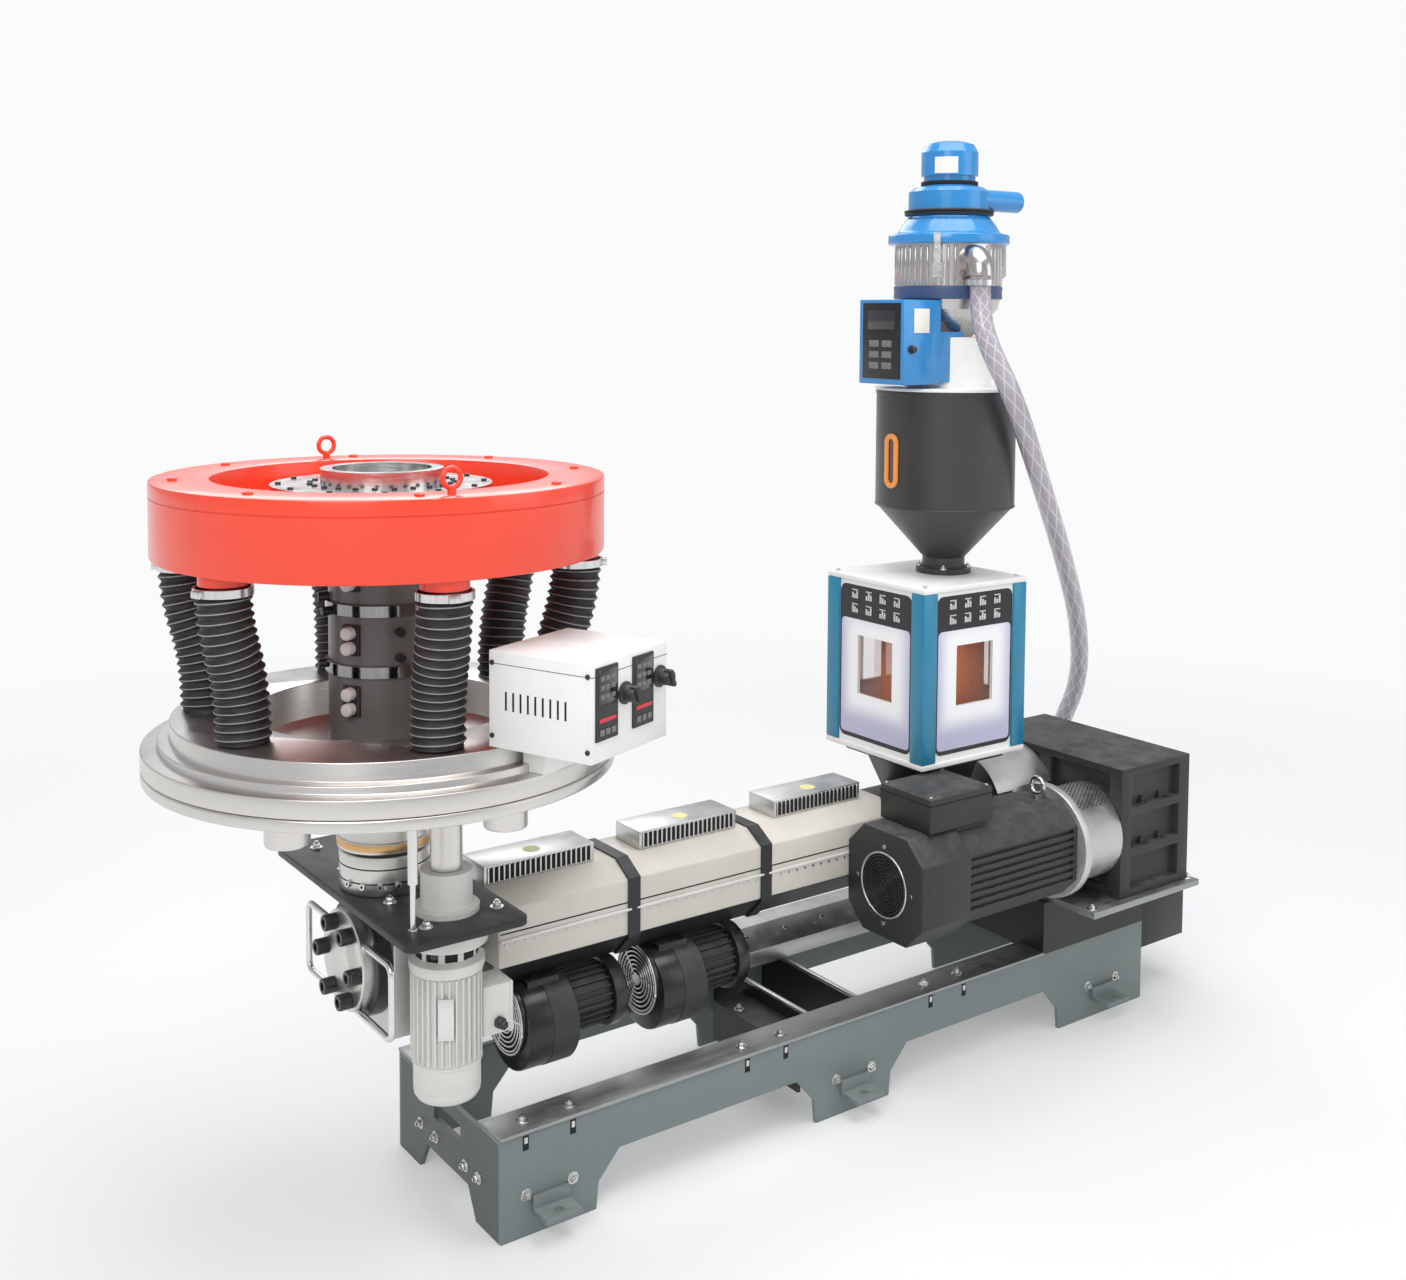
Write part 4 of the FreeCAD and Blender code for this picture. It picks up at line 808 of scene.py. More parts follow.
# %% Air ring
rim_outline = [(160, 1086), (242, 1086), (242, 1121.5), (242.8, 1123.4), (245, 1124), (321, 1124),
               (324.2, 1123), (325, 1120.5), (325, 1103), (323.6, 1102.4), (323.6, 1101.2), (325, 1100.6),
               (325, 1018), (324, 1015), (321, 1014), (160, 1014), (160, 1086)]
rim = stand(turned("rim", rim_outline, ring_red, sides=192, hollow=True), facing((die_x, 0, 0), (0, 0, 1)))
stub = turned("stub", [(33, 0), (33, 14)], ring_red, sides=40)
stubs = copies("stubs", stub, [facing(about_die(284, degrees, 1000), (0, 0, 1)) for degrees in hose_angles])
cap = turned("cap", [(7, 0), (7, 2.6), (6.2, 3.4), (3, 3.4), (3, 1.6)], ring_red, sides=20)
caps = copies("caps", cap, [facing(about_die(292, 30 + 45 * index, 1124), (0, 0, 1)) for index in range(8)])
ring_shape = joined("air_ring_shape", [rim, stubs, caps])
mount(ring_shape, "rotary_head", "air_ring")

dark_steel = painted("black_oxide_screw", (0.02, 0.02, 0.021), gloss=0.32, scuff=0.25,
                     scuff_colour=(0.3, 0.3, 0.3), dust=0.1)


def socket_screw(radius, height, finish):
    """A cap screw with its hexagon socket, standing on its seat."""
    outline = [(radius, 0), (radius, height * 0.86), (radius * 0.9, height), (radius * 0.55, height)]
    head = turned("head", outline, finish, sides=24)
    # The socket is a thin near-black disc on the head: painted shade in the hexagon recess.
    socket = turned("socket", [(radius * 0.5, height * 0.96), (radius * 0.5, height * 1.01)], black_and_shade, sides=6)
    return joined("screw", [head, socket])


def hex_bolt(width, height, finish):
    """A hexagon head on a round washer."""
    washer = turned("washer", [(width * 0.92, 0), (width * 0.92, 1.4), (width * 0.86, 2)], finish, sides=32)
    flats = [(width * 0.57, 1.5), (width * 0.57, height - 1), (width * 0.5, height)]
    head = turned("head", flats, finish, sides=6)
    tip = turned("tip", [(width * 0.28, height - 1), (width * 0.28, height + 3)], finish, sides=16)
    return joined("bolt", [washer, head, tip])


inner = [facing(about_die(104, 15 * index, 1112), (0, 0, 1)) for index in range(24)]
outer = [facing(about_die(148, 30 * index + 7, 1112), (0, 0, 1)) for index in range(12)]
plate_screws = copies("die_plate_screws", socket_screw(4.2, 3, dark_steel), inner + outer)
mount(plate_screws, "rotary_head")

# %% [markdown]
# ## The die column
# Heater bands of dark sheet wrap the column, each pulled tight by a polished strap. White ceramic caps
# cover the band's terminals, and dark clamp screws stand beside them.

# %% Die column
strap_gloss = metal("polished_strap", (0.30, 0.295, 0.29), (26, 26, 1), contrast=0.9, gloss=0.12)
ceramic = painted("white_ceramic", (0.78, 0.77, 0.74), gloss=0.25, scuff=0.05, dust=0.1)
straps = [hoop("strap", (79, 82.6, 83.4), (low, low + 18), 1, strap_gloss) for low in (838, 926)]
column_straps = stand(joined("column_straps", straps), facing((die_x, 0, 0), (0, 0, 1)))
mount(column_straps, "rotary_head")

terminal = turned("terminal", [(9.5, 0), (9.5, 12), (8.6, 13.6), (6.5, 14.4), (2, 14.6)], ceramic, sides=28)
base_plate = block("base_plate", (-14, -22, 0), (14, 22, 5), dark_steel, 1)
pair = copies("pair", terminal, [Matrix.Translation((0, offset / 1000, 0.004)) for offset in (-11, 11)])
cluster = joined("cluster", [base_plate, pair])
cluster_places = [off_die(78, 212, z) for z in (893, 805, 985)]
terminals = copies("column_terminals", cluster, cluster_places)
mount(terminals, "rotary_head")
clamp_spots = ((262, 905), (262, 868), (165, 948), (178, 930), (165, 850))
clamp_places = [off_die(78, degrees, z) for degrees, z in clamp_spots]
clamp_screws = copies("column_clamp_screws", socket_screw(6.5, 16, dark_steel), clamp_places)
mount(clamp_screws, "rotary_head")
print("column parts:", len(cluster_places) + len(clamp_places) + 2)

# %% [markdown]
# ## The control box on the table
# A folded white box with a lid holds two panel controllers of 48 by 96 mm and two rotary switches. Its side
# has nine cooling slots. The box stands turned on the table, so its small parts are made square to it and
# then turned with it.

# %% Control box details
box_place = upright((die_x + 126.4, -346, 0), 22.3)
screen_black = painted("controller_screen", (0.012, 0.014, 0.016), gloss=0.12, scuff=0.02, coat=0.6, dust=0.1)
bezel_black = painted("controller_bezel", (0.02, 0.021, 0.022), gloss=0.4, scuff=0.1, dust=0.15)
key_grey = painted("controller_keys", (0.16, 0.165, 0.17), gloss=0.5, scuff=0.1)
digit_red = painted("controller_digits", (0.62, 0.03, 0.05), gloss=0.3, scuff=0.0)
# Near-black gloss: the real colour of seam and gasket lines, and painted shade where it fills slots, holes,
# grooves, vents and openings.
shade_and_seam_black = painted("shade_and_seam_black", (0.004, 0.004, 0.004), gloss=0.8, scuff=0.0, dust=0.0)
box_parts = []
# The nine cooling slots are thin near-black plates on the box's side: painted shade in place of openings.
for index in range(9):
    y = 55 - 12.2 * index
    box_parts.append(block("slot", (-87.5, y - 1.5, 838), (-86.8, y + 1.5, 863), shade_and_seam_black, 0.2))
for y, z in ((78, 900), (-78, 900), (-78, 802), (78, 802)):
    screw = socket_screw(3.4, 2.2, dark_steel)
    turn = Matrix.Translation((-0.087, y / 1000, z / 1000)) @ turned_by(-90, "Y")
    box_parts.append(stand(screw, turn))
for x in (-56, 27):
    box_parts.append(block("bezel", (x - 24, -87, 814), (x + 24, -83.5, 910), bezel_black, 1.2))
    box_parts.append(block("screen", (x - 20, -87.8, 862), (x + 20, -86.5, 906), screen_black, 0.4))
    box_parts.append(block("digits", (x - 18, -87.9, 838), (x + 18, -86.6, 843), digit_red, 0.3))
    for row in range(3):
        for column in range(3):
            left, low = x - 16 + 11.5 * column, 868 + 12 * row
            box_parts.append(block("segment", (left, -88.1, low), (left + 9, -87.6, low + 6), key_grey, 0.2))
    for column in range(3):
        left = x - 17 + 12.5 * column
        box_parts.append(block("key", (left, -88.6, 821), (left + 9, -86.6, 829), key_grey, 0.6))
knob_outline = [(15, 0), (15, 3), (11.5, 5), (10.8, 19), (9.6, 20.5)]
for x, z in ((-14, 866), (68, 872)):
    knob = turned("knob", knob_outline, bezel_black, sides=32)
    grip = block("grip", (-3, -13, 12), (3, 13, 24.4), bezel_black, 1.5)
    turn = Matrix.Translation((x / 1000, -0.084, z / 1000)) @ turned_by(90, "X")
    box_parts.append(stand(joined("knob", [knob, grip]), turn @ turned_by(25)))
box_parts.append(block("lid_seam", (-87.3, -84.3, 898.6), (87.3, 84.3, 899.3), shade_and_seam_black, 0))
box_details = stand(joined("control_box_details", box_parts), box_place)
mount(box_details, "rotary_head")
print("control box parts:", len(box_parts))

# %% [markdown]
# ## Under the table
# A brass slip ring brings current to the turning head, and the adaptor below it is bolted down with socket
# screws. The support plate shows hexagon bolts on washers. Two more bolts hold the drive's bearing.

# %% Under the table
slip_ring = stand(hoop("slip", (66, 70, 70.4), (581, 591), 1, brass), upright((die_x, 0, 0)))
mount(slip_ring, "rotary_head")
# The two adaptor grooves are thin near-black rings: painted shade in the recesses.
groove_parts = [hoop("groove", (66, 67.15, 67.3), (low, low + 2), 0.4, shade_and_seam_black) for low in (532, 553)]
grooves = stand(joined("adaptor_grooves", groove_parts), upright((die_x, 0, 0)))
mount(grooves, "machine")
side_screws = [off_die(66.5, degrees, 530) for degrees in range(196, 290, 22)]
adaptor_screws = copies("adaptor_screws", socket_screw(5, 5, bright_steel), side_screws)
mount(adaptor_screws, "machine")
plate_bolt_spots = [(-130, -83), (-12, -185), (-128, -196), (-130, 83), (-12, 185), (-128, 196), (-150, 0)]
plate_bolts = copies("plate_bolts", hex_bolt(11, 8, bright_steel),
                     [facing((x, y, 514), (0, 0, 1), 20 * index) for index, (x, y) in enumerate(plate_bolt_spots)])
mount(plate_bolts, "machine")

# %% [markdown]
# ## The table drive
# The small upright gearmotor is a pressure-cast aluminium body: a flange under the plate, an open lantern
# with the shaft behind it, a body with upright cooling fins, and a sheet cowl over the fan at the bottom. It is
# turned in one go, and one fin is copied round it.

# %% Drive motor
cast_pale = painted("cast_pale_paint", (0.66, 0.655, 0.62), gloss=0.38, scuff=0.15, dust=0.15, bump=0.25)
drive_x, drive_y = -73.6, -149.7
drive_outline = [(37, 574), (37, 527), (38, 524), (47, 522), (47, 514), (47, 503), (59, 502), (59, 473),
                 (57.5, 470), (52, 469), (44, 467), (44, 452), (50, 449), (54, 447), (54, 436),
                 (52, 431), (46, 428), (46, 304), (50, 301), (50.5, 299), (48, 298), (48, 262),
                 (47.4, 261), (47.4, 260), (48, 259), (47, 252), (43, 246), (36, 243.4), (10, 243)]
drive_core = stand(turned("core", drive_outline, cast_pale, sides=72), upright((drive_x, drive_y, 0)))
fin = block("fin", (44, -1.5, 305), (52, 1.5, 429), cast_pale, 0.5, 1)
fin_places = []
for index in range(32):
    degrees = 360 * index / 32
    if not 330 < degrees + 8 < 352 and not degrees < 20:
        fin_places.append(upright((drive_x, drive_y, 0), degrees))
fins = copies("fins", fin, fin_places)
# The lantern's ten windows are near-black blocks: painted shade in the openings.
window = block("window", (39, -9, 453), (44.6, 9, 465), shade_and_seam_black, 0.4)
windows = copies("windows", window, [upright((drive_x, drive_y, 0), 36 * index) for index in range(10)])
terminal_case = block("case", (44, -26, 322), (94, 26, 396), cast_pale, 3)
lid_edge = block("lid_edge", (88, -27, 321), (91, 27, 397), cast_pale, 0.8)
gland = stand(turned("gland", [(9, 0), (9, 10), (7, 12), (7, 18), (5, 20)], dark_steel, sides=6),
              Matrix.Translation((0.07, -0.024, 0.34)) @ turned_by(90, "X"))
terminal_box = stand(joined("terminal_box", [terminal_case, lid_edge, gland]), upright((drive_x, drive_y, 0)))
plate_shape = block("rating_plate", (51.3, -11, 345), (53, 11, 405), bright_steel, 0.4)
stand(plate_shape, upright((drive_x, drive_y, 0), -118))
drive_shape = joined("drive_motor_shape", [drive_core, fins, windows, terminal_box, plate_shape])
mount(drive_shape, "machine", "drive_motor")
flange_screws = copies("drive_flange_screws", socket_screw(5, 6, dark_steel),
                       [facing((drive_x + 52 * math.cos(math.radians(45 + 90 * index)),
                                drive_y + 52 * math.sin(math.radians(45 + 90 * index)), 469), (0, 0, -1))
                        for index in range(4)])
mount(flange_screws, "machine")

# %% [markdown]
# ## The end cap
# The melt is turned upwards in a steel block, whose open end is closed by a thick round cap. Black socket
# screws pull the cap on through a dark clamp ring, and they are long enough to be gripped for cleaning.

# %% End cap
cap_face = -168.0
ring_front = turned("clamp_ring", [(84.5, 0), (86, 1.5), (86, 22.5), (84.5, 24)], dark_steel, sides=96)
cap_disc = turned("cap_disc", [(74, 0), (74, 16), (72, 18), (40, 18), (38, 16.6)], turned_steel, sides=96)
stand(cap_disc, Matrix.Translation((0, 0, 0.024)))
cap_shape = stand(joined("cap_shape", [ring_front, cap_disc]), facing((-126, 0, barrel_z), (-1, 0, 0)))
cap_screw = turned("cap_screw", [(11.2, 0), (12, 1), (12, 17), (11, 19), (6.6, 19), (6.6, 12)], dark_steel,
                   sides=32)
cap_places = []
for index in range(6):
    angle = math.radians(4 + 60 * index)
    cap_places.append(facing((cap_face, 57 * math.cos(angle), barrel_z + 57 * math.sin(angle)), (-1, 0, 0)))
cap_screws = copies("cap_screws", cap_screw, cap_places)
end_cap_shape = joined("end_cap_shape", [cap_shape, cap_screws])
mount(end_cap_shape, "machine", "end_cap")

# %% [markdown]
# ## Blowers under the barrel
# Each heater zone is cooled by a small centrifugal blower: a pressed casing with a wire guard over its
# inlet, a wide sheet band round the outlet side, and a ribbed motor with an end cap. One is made and copied.

# %% Blowers
guard_wire = metal("guard_wire", (0.66, 0.66, 0.66), (3, 3, 3), contrast=0.2, gloss=0.3)
blower_grey = painted("blower_band_paint", (0.022, 0.024, 0.022), gloss=0.45, scuff=0.12,
                      scuff_colour=(0.12, 0.12, 0.12), dust=0.15)
gloss_black = painted("gloss_black_paint", (0.01, 0.01, 0.011), gloss=0.25, scuff=0.12,
                      scuff_colour=(0.1, 0.1, 0.1), dust=0.1)


def wire_ring(radius, wire, height, finish, sides=48):
    """A ring of round wire about Z, its sizes in millimetres."""
    bpy.ops.object.select_all(action="DESELECT")
    bpy.ops.mesh.primitive_torus_add(major_radius=radius / 1000, minor_radius=wire / 1000, major_segments=sides,
                                     minor_segments=8, location=(0, 0, height / 1000))
    hoop = bpy.context.object
    bpy.ops.object.transform_apply(location=True)
    hoop.data.materials.append(finish)
    bpy.ops.object.shade_smooth()
    return hoop


def wire_guard(name, radii, wire, spokes, finish, height=0.0):
    """Concentric wires on radial spokes, the guard of a fan, standing on z = 0."""
    parts = [wire_ring(radius, wire, height + wire, finish) for radius in radii]
    spoke = block("spoke", (radii[0] - 2, -wire, height), (radii[-1], wire, height + wire), finish, 0.3, 1)
    turns = [turned_by(360 * index / spokes + 20) for index in range(spokes)]
    parts.append(copies("spokes", spoke, turns))
    parts.append(turned("hub", [(radii[0] + 1, height), (radii[0] + 1, height + wire)], finish, sides=20))
    return joined(name, parts)


cover_starts = (44.0, 289.0)
blower_axis = (-38.0, 272.0)


def along_x(x, y, z):
    """The place of a piece whose own +Z runs along the machine's +X."""
    return Matrix.Translation(at(x, y, z)) @ turned_by(90, "Y")


def blower(name):
    """One blower about its shaft, its casing's front face at z = 0."""
    casing = turned("casing", [(66, 0), (69, 1.5), (70, 5), (70, 85), (69, 88.5), (66, 90)], gloss_black, sides=72)
    stand(casing, Matrix.Translation((0.014, 0, 0)))
    band = hoop("band", (69, 70.5, 71), (42, 86.5), 0.5, blower_grey, 72)
    stand(band, Matrix.Translation((0.014, 0, 0)))
    inlet = turned("inlet", [(58, 0), (58, -5), (56, -6.5), (50, -5), (46, 4)], gloss_black, sides=56)
    # The near-black disc behind the guard is painted shade inside the inlet.
    shade_disc = turned("shade_disc", [(50, -2.6), (50, -2.9)], shade_and_seam_black, sides=40)
    guard = wire_guard("guard", (9, 16, 23, 30, 37, 44, 51, 56), 1.6, 3, guard_wire)
    stand(guard, Matrix.Translation((0, 0, -0.0088)))
    core = turned("core", [(44, 90), (44, 164)], motor_black, sides=40)
    rib = block("rib", (43, -1.2, 92), (50, 1.2, 162), motor_black, 0.4, 1)
    ribs = copies("ribs", rib, [turned_by(15 * index) for index in range(24)])
    end = turned("end", [(53, 162), (56, 164), (56, 183), (54, 187), (47, 188)], gloss_black, sides=56)
    neck = block("neck", (-60, -30, 17), (-20, 30, 73), gloss_black, 1)
    parts = [casing, band, inlet, shade_disc, guard, core, ribs, end, neck]
    for degrees in (40, 160, 280):
        lug = stand(socket_screw(3.4, 3, bright_steel), turned_by(degrees) @
                    Matrix.Translation((0.055, 0, -0.0065)) @ Matrix.Rotation(math.pi, 4, "X"))
        parts.append(lug)
    return joined(name, parts)


blower_places = [along_x(start + 43, *blower_axis) for start in cover_starts]
blower_shape = copies("blower_shapes", blower("blower"), blower_places)
mount(blower_shape, "machine", "blowers")
print("blower triangles:", sum(len(face.vertices) - 2 for face in blower_shape.data.polygons))

# %% [markdown]
# ## Barrel covers and vent boxes
# The covers are folded sheet. A rolled lip and a row of tiny screws close each along its side, and a zinc
# box with upright louvres sits on top as the hot-air outlet, with a plain round label on it.

# %% Covers
lip_white = painted("cover_lip_paint", (0.70, 0.68, 0.64), gloss=0.3, scuff=0.05)
label_yellow = painted("plain_yellow_label", (0.72, 0.70, 0.30), gloss=0.4, scuff=0.1, dust=0.1)
cover_spans = ((44, 286), (289, 554), (557, 850))
for index, (start, end_x) in enumerate(cover_spans):
    sides = []
    for side in (-1, 1):
        face_y = 86 * side
        near, far = sorted((face_y, face_y + 3.2 * side))
        sides.append(block_at("lip", (start + 3, near, 412), (end_x - 3, far, 417), lip_white, 1.4))
        near, far = sorted((face_y, face_y + 0.5 * side))
        sides.append(block_at("seam", (start + 3, near, 424.5), (end_x - 3, far, 426.5), shade_and_seam_black, 0))
        count = int((end_x - start) / 18)
        spots = [facing((start + 12 + 18 * step, face_y, 407), (0, side, 0)) for step in range(count)]
        sides.append(copies("lip_screws", socket_screw(2.2, 1.6, bright_steel), spots))
    trim = joined("cover_trim_%d" % (index + 1), sides)
    mount(trim, "machine")

# %% Vent boxes
vent_starts = (46, 331, 612)
vent_length, vent_half, vent_low, vent_high = 198, 36, 485, 516
for index, start in enumerate(vent_starts):
    end_x = start + vent_length
    sheet_box = block_at("box", (start, -vent_half, vent_low), (end_x, vent_half, vent_high), zinc_sheet, 1.2)
    parts = [sheet_box]
    for side in (-1, 1):
        near, far = sorted((side * vent_half, side * (vent_half + 0.4)))
        # A near-black sheet behind each row of louvres is painted shade in the opening.
        parts.append(block_at("opening", (start + 5, near, 489), (end_x - 5, far, 512), shade_and_seam_black, 0))
        near, far = sorted((side * vent_half, side * (vent_half + 2.2)))
        louvre = block("louvre", (-1.5, near, 488), (1.5, far, 513), zinc_sheet, 0.5, 1)
        spots = [Matrix.Translation(at(start + 7 + 9.2 * step, 0, 0)) for step in range(21)]
        parts.append(copies("louvres", louvre, spots))
    label = turned("label", [(14, 0), (14, 0.5)], label_yellow, sides=36)
    parts.append(stand(label, upright((start + 100, -6, vent_high))))
    vent = joined("vent_box_%d" % (index + 1), parts)
    mount(vent, "machine", "vent_boxes")

# %% [markdown]
# ## Screws of the base frame
# The front plate, the beams and the cross members are bolted, and zinc rails lie on the beams under
# hexagon bolts whose lower ends show in small slots in the beams' sides. Each lug is held by two bolts.

# %% Base frame screws
zinc_bolt = metal("zinc_bolt", (0.62, 0.62, 0.60), (3, 3, 3), contrast=0.2, gloss=0.25)
bolt_spots = [facing((0, y, 72), (-1, 0, 0), 17 * number) for number, y in enumerate((91, 38, -62, -104))]
rail_spots = (50, 131, 461, 541, 872, 955)
for side in (-1, 1):
    for number, x in enumerate(rail_spots):
        bolt_spots.append(facing((x, side * 146, 162), (0, 0, 1), 23 * number))
    for foot in (82.5, 683.0, 1326.5):
        for offset in (-40, 40):
            bolt_spots.append(facing((foot + offset, side * 172, 64), (0, side, 0), 11 * offset))
frame_bolts = copies("frame_bolts", hex_bolt(10.5, 7, zinc_bolt), bolt_spots)
mount(frame_bolts, "machine")
slots = []
for side in (-1, 1):
    for x in rail_spots:
        # Each slot is a thin near-black plate on the beam's side: painted shade in the recess.
        near, far = sorted((side * 172, side * 172.5))
        slots.append(block_at("slot", (x - 13, near, 132), (x - 3, far, 154), shade_and_seam_black, 0))
        near, far = sorted((side * 172, side * 173.5))
        slots.append(block_at("bolt_end", (x - 11, near, 142), (x - 5, far, 152), zinc_bolt, 1))
slot_set = joined("beam_slots", slots)
mount(slot_set, "machine")
platform_spots = [facing((x, y, 268), (0, 0, 1), 15) for x in (1186, 1466) for y in (-262, 162)]
platform_bolts = copies("platform_bolts", hex_bolt(10.5, 7, zinc_bolt), platform_spots)
mount(platform_bolts, "machine")
cross_spots = [facing((582, 20, 130), (0, 0, 1)), facing((582, -100, 130), (0, 0, 1))]
cross_bolts = copies("cross_bolts", hex_bolt(10.5, 7, zinc_bolt), cross_spots)
mount(cross_bolts, "machine")
bright_edges = joined("cross_plate_edges", [block_at("edge", (x, -160, 150.5), (x + 8, 160, 156.8), zinc_sheet, 1)
                                            for x in (632, 746)])
mount(bright_edges, "machine")
duct_screws = copies("duct_screws", socket_screw(3.4, 2.4, zinc_bolt),
                     [facing((x, 83.5 + 17, 214), (0, -1, 1)) for x in range(300, 1100, 90)])
mount(duct_screws, "machine")

# %% [markdown]
# ## The main motor
# The motor's housing is an eight-sided casting. Its fan draws air through a round wire grille in the front,
# held by four screws, and the terminal box has a lid with a gasket line. The coupling housing behind it has a
# perforated cover.

# %% Motor details
motor_front_x, motor_y, motor_z = 740, -181.0, 384.0
grille = wire_guard("motor_grille", (8, 14, 20, 26, 32, 38, 44, 50), 1.3, 4, gloss_black)
rim_hoop = wire_ring(55.5, 2.0, 1.6, guard_wire, 64)
# A near-black disc behind the grille is painted shade in the fan's throat.
throat_disc = turned("throat", [(55, 0.2), (55, 0.6)], shade_and_seam_black, sides=56)
grille_set = joined("grille_set", [grille, rim_hoop, throat_disc])
to_front = Matrix.Translation(at(motor_front_x, motor_y, motor_z)) @ turned_by(-90, "Y")
stand(grille_set, to_front)
screw_spots = [facing((motor_front_x, motor_y + y, motor_z + z), (-1, 0, 0))
               for y, z in ((67, 0), (0, 67), (-67, 0), (0, -67))]
grille_screws = copies("grille_screws", socket_screw(3.6, 2.4, bright_steel), screw_spots)
motor_front = joined("motor_grille", [grille_set, grille_screws])
mount(motor_front, "machine")

terminal_parts = [block_at("gasket", (785.4, -244.6, 527), (936.6, -117.4, 529), shade_and_seam_black, 0.3)]
lid_spots = [facing((x, y, 540), (0, 0, 1)) for x in (794, 928) for y in (-236, -126)]
terminal_parts.append(copies("lid_screws", socket_screw(3.4, 2.6, zinc_bolt), lid_spots))
terminal_trim = joined("terminal_box_trim", terminal_parts)
mount(terminal_trim, "machine")

# %% Coupling mesh and gearbox bolts
# Each perforation is a small near-black disc: painted shade behind the holes.
mesh_hole = turned("hole", [(1.7, 0), (1.7, 0.5)], shade_and_seam_black, sides=8)
hole_spots = []
for row, x in enumerate(range(1166, 1258, 6)):
    for step in range(15):
        angle = math.radians(58 + 5 * step + (2.5 if row % 2 else 0))
        normal = (0, math.cos(angle), math.sin(angle))
        hole_spots.append(facing((x, motor_y + 88 * normal[1], motor_z + 88 * normal[2]), normal))
mesh_holes = copies("coupling_mesh_holes", mesh_hole, hole_spots)
mount(mesh_holes, "machine")
gear_spots = []
for z in (345, 424):
    for y in range(-240, 100, 64):
        gear_spots.append(facing((1462 - 14, y, z + 16), (0, 0, 1), y))
for x in range(1284, 1450, 52):
    for z in (361, 440):
        gear_spots.append(facing((x, -250, z), (0, 0, 1), x))
gear_bolts = copies("gearbox_bolts", hex_bolt(12, 9, dark_steel), gear_spots)
mount(gear_bolts, "machine")
print("mesh holes:", len(hole_spots), "gearbox bolts:", len(gear_spots))

# %% [markdown]
# ## The window box
# Each side of the box has a printed sheet: a black border, a band of plain pictograms, and a pale violet
# field that fades to white round the window. The orange feed column shows through the clear panes.

# %% Window sheets
clear_glass, tree, shader, where = new_finish("clear_window_glass")
smudge = node(tree, "TexNoise", {"Scale": 9.0, "Detail": 4.0})
tree.links.new(where, smudge.inputs["Vector"])
haze = ramp(tree, 0.4, 0.8, 0.02, 0.10)
wire(smudge, "Fac", haze, "Value")
wire(haze, "Result", shader, "Roughness")
shader.inputs["Base Color"].default_value = (0.95, 0.96, 0.96, 1)
shader.inputs["Transmission Weight"].default_value = 0.96
shader.inputs["IOR"].default_value = 1.2
shader.inputs["Alpha"].default_value = 0.35
dress("window_panes", clear_glass)

box_x = 1005.0
window_middle = at(box_x, 0, 708.5)
sheet_violet, tree, shader, where = new_finish("violet_printed_sheet")
offset = node(tree, "VectorMath", operation="SUBTRACT")
offset.inputs[1].default_value = window_middle
tree.links.new(where, offset.inputs[0])
size = node(tree, "VectorMath", operation="ABSOLUTE")
wire(offset, "Vector", size, 0)
split = node(tree, "SeparateXYZ")
wire(size, "Vector", split, "Vector")
sideways = node(tree, "Math", operation="MINIMUM")
wire(split, "X", sideways, 0)
wire(split, "Y", sideways, 1)
beyond_side = node(tree, "Math", {1: 0.0465}, operation="SUBTRACT")
wire(sideways, "Value", beyond_side, 0)
beyond_end = node(tree, "Math", {1: 0.0555}, operation="SUBTRACT")
wire(split, "Z", beyond_end, 0)
distance = node(tree, "Math", {2: 0.03}, operation="SMOOTH_MAX")
wire(beyond_side, "Value", distance, 0)
wire(beyond_end, "Value", distance, 1)
halo = node(tree, "MapRange", {"From Min": 0.012, "From Max": 0.055}, interpolation_type="SMOOTHSTEP")
wire(distance, "Value", halo, "Value")
print_tone = mix_colour(tree)
print_tone.inputs[6].default_value = (0.86, 0.86, 0.87, 1)
print_tone.inputs[7].default_value = (0.47, 0.47, 0.62, 1)
wire(halo, "Result", print_tone, 0)
wire(print_tone, 2, shader, "Base Color")
shader.inputs["Roughness"].default_value = 0.3
sheet_black = painted("black_printed_sheet", (0.008, 0.008, 0.01), gloss=0.25, scuff=0.05, dust=0.05)
icon_pale = painted("pictogram_pale", (0.55, 0.55, 0.55), gloss=0.4, scuff=0.0, dust=0.0)


def rounded_plate(name, width, height, corner, thickness, finish):
    """A plate in the XZ plane about its middle, its face towards -Y, with round corners."""
    bpy.ops.object.select_all(action="DESELECT")
    bpy.ops.mesh.primitive_plane_add(size=1)
    plate = bpy.context.object
    plate.name = name
    plate.scale = (width / 1000, height / 1000, 1)
    bpy.ops.object.transform_apply(scale=True)
    bpy.ops.object.mode_set(mode="EDIT")
    bpy.ops.mesh.select_all(action="SELECT")
    bpy.ops.mesh.bevel(offset=corner / 1000, segments=8, affect="VERTICES")
    bpy.ops.mesh.extrude_region_move()
    bpy.ops.transform.translate(value=(0, 0, thickness / 1000))
    bpy.ops.mesh.select_all(action="SELECT")
    bpy.ops.mesh.normals_make_consistent(inside=False)
    bpy.ops.object.mode_set(mode="OBJECT")
    plate.data.materials.append(finish)
    return stand(plate, turned_by(90, "X"))


def cut_with(piece, cutter):
    """Cuts a piece with another, which is removed."""
    cut = piece.modifiers.new("cut", "BOOLEAN")
    cut.operation = "DIFFERENCE"
    cut.solver = "EXACT"
    cut.object = cutter
    alone(piece)
    bpy.ops.object.modifier_apply(modifier="cut")
    bpy.data.objects.remove(cutter)
    return piece


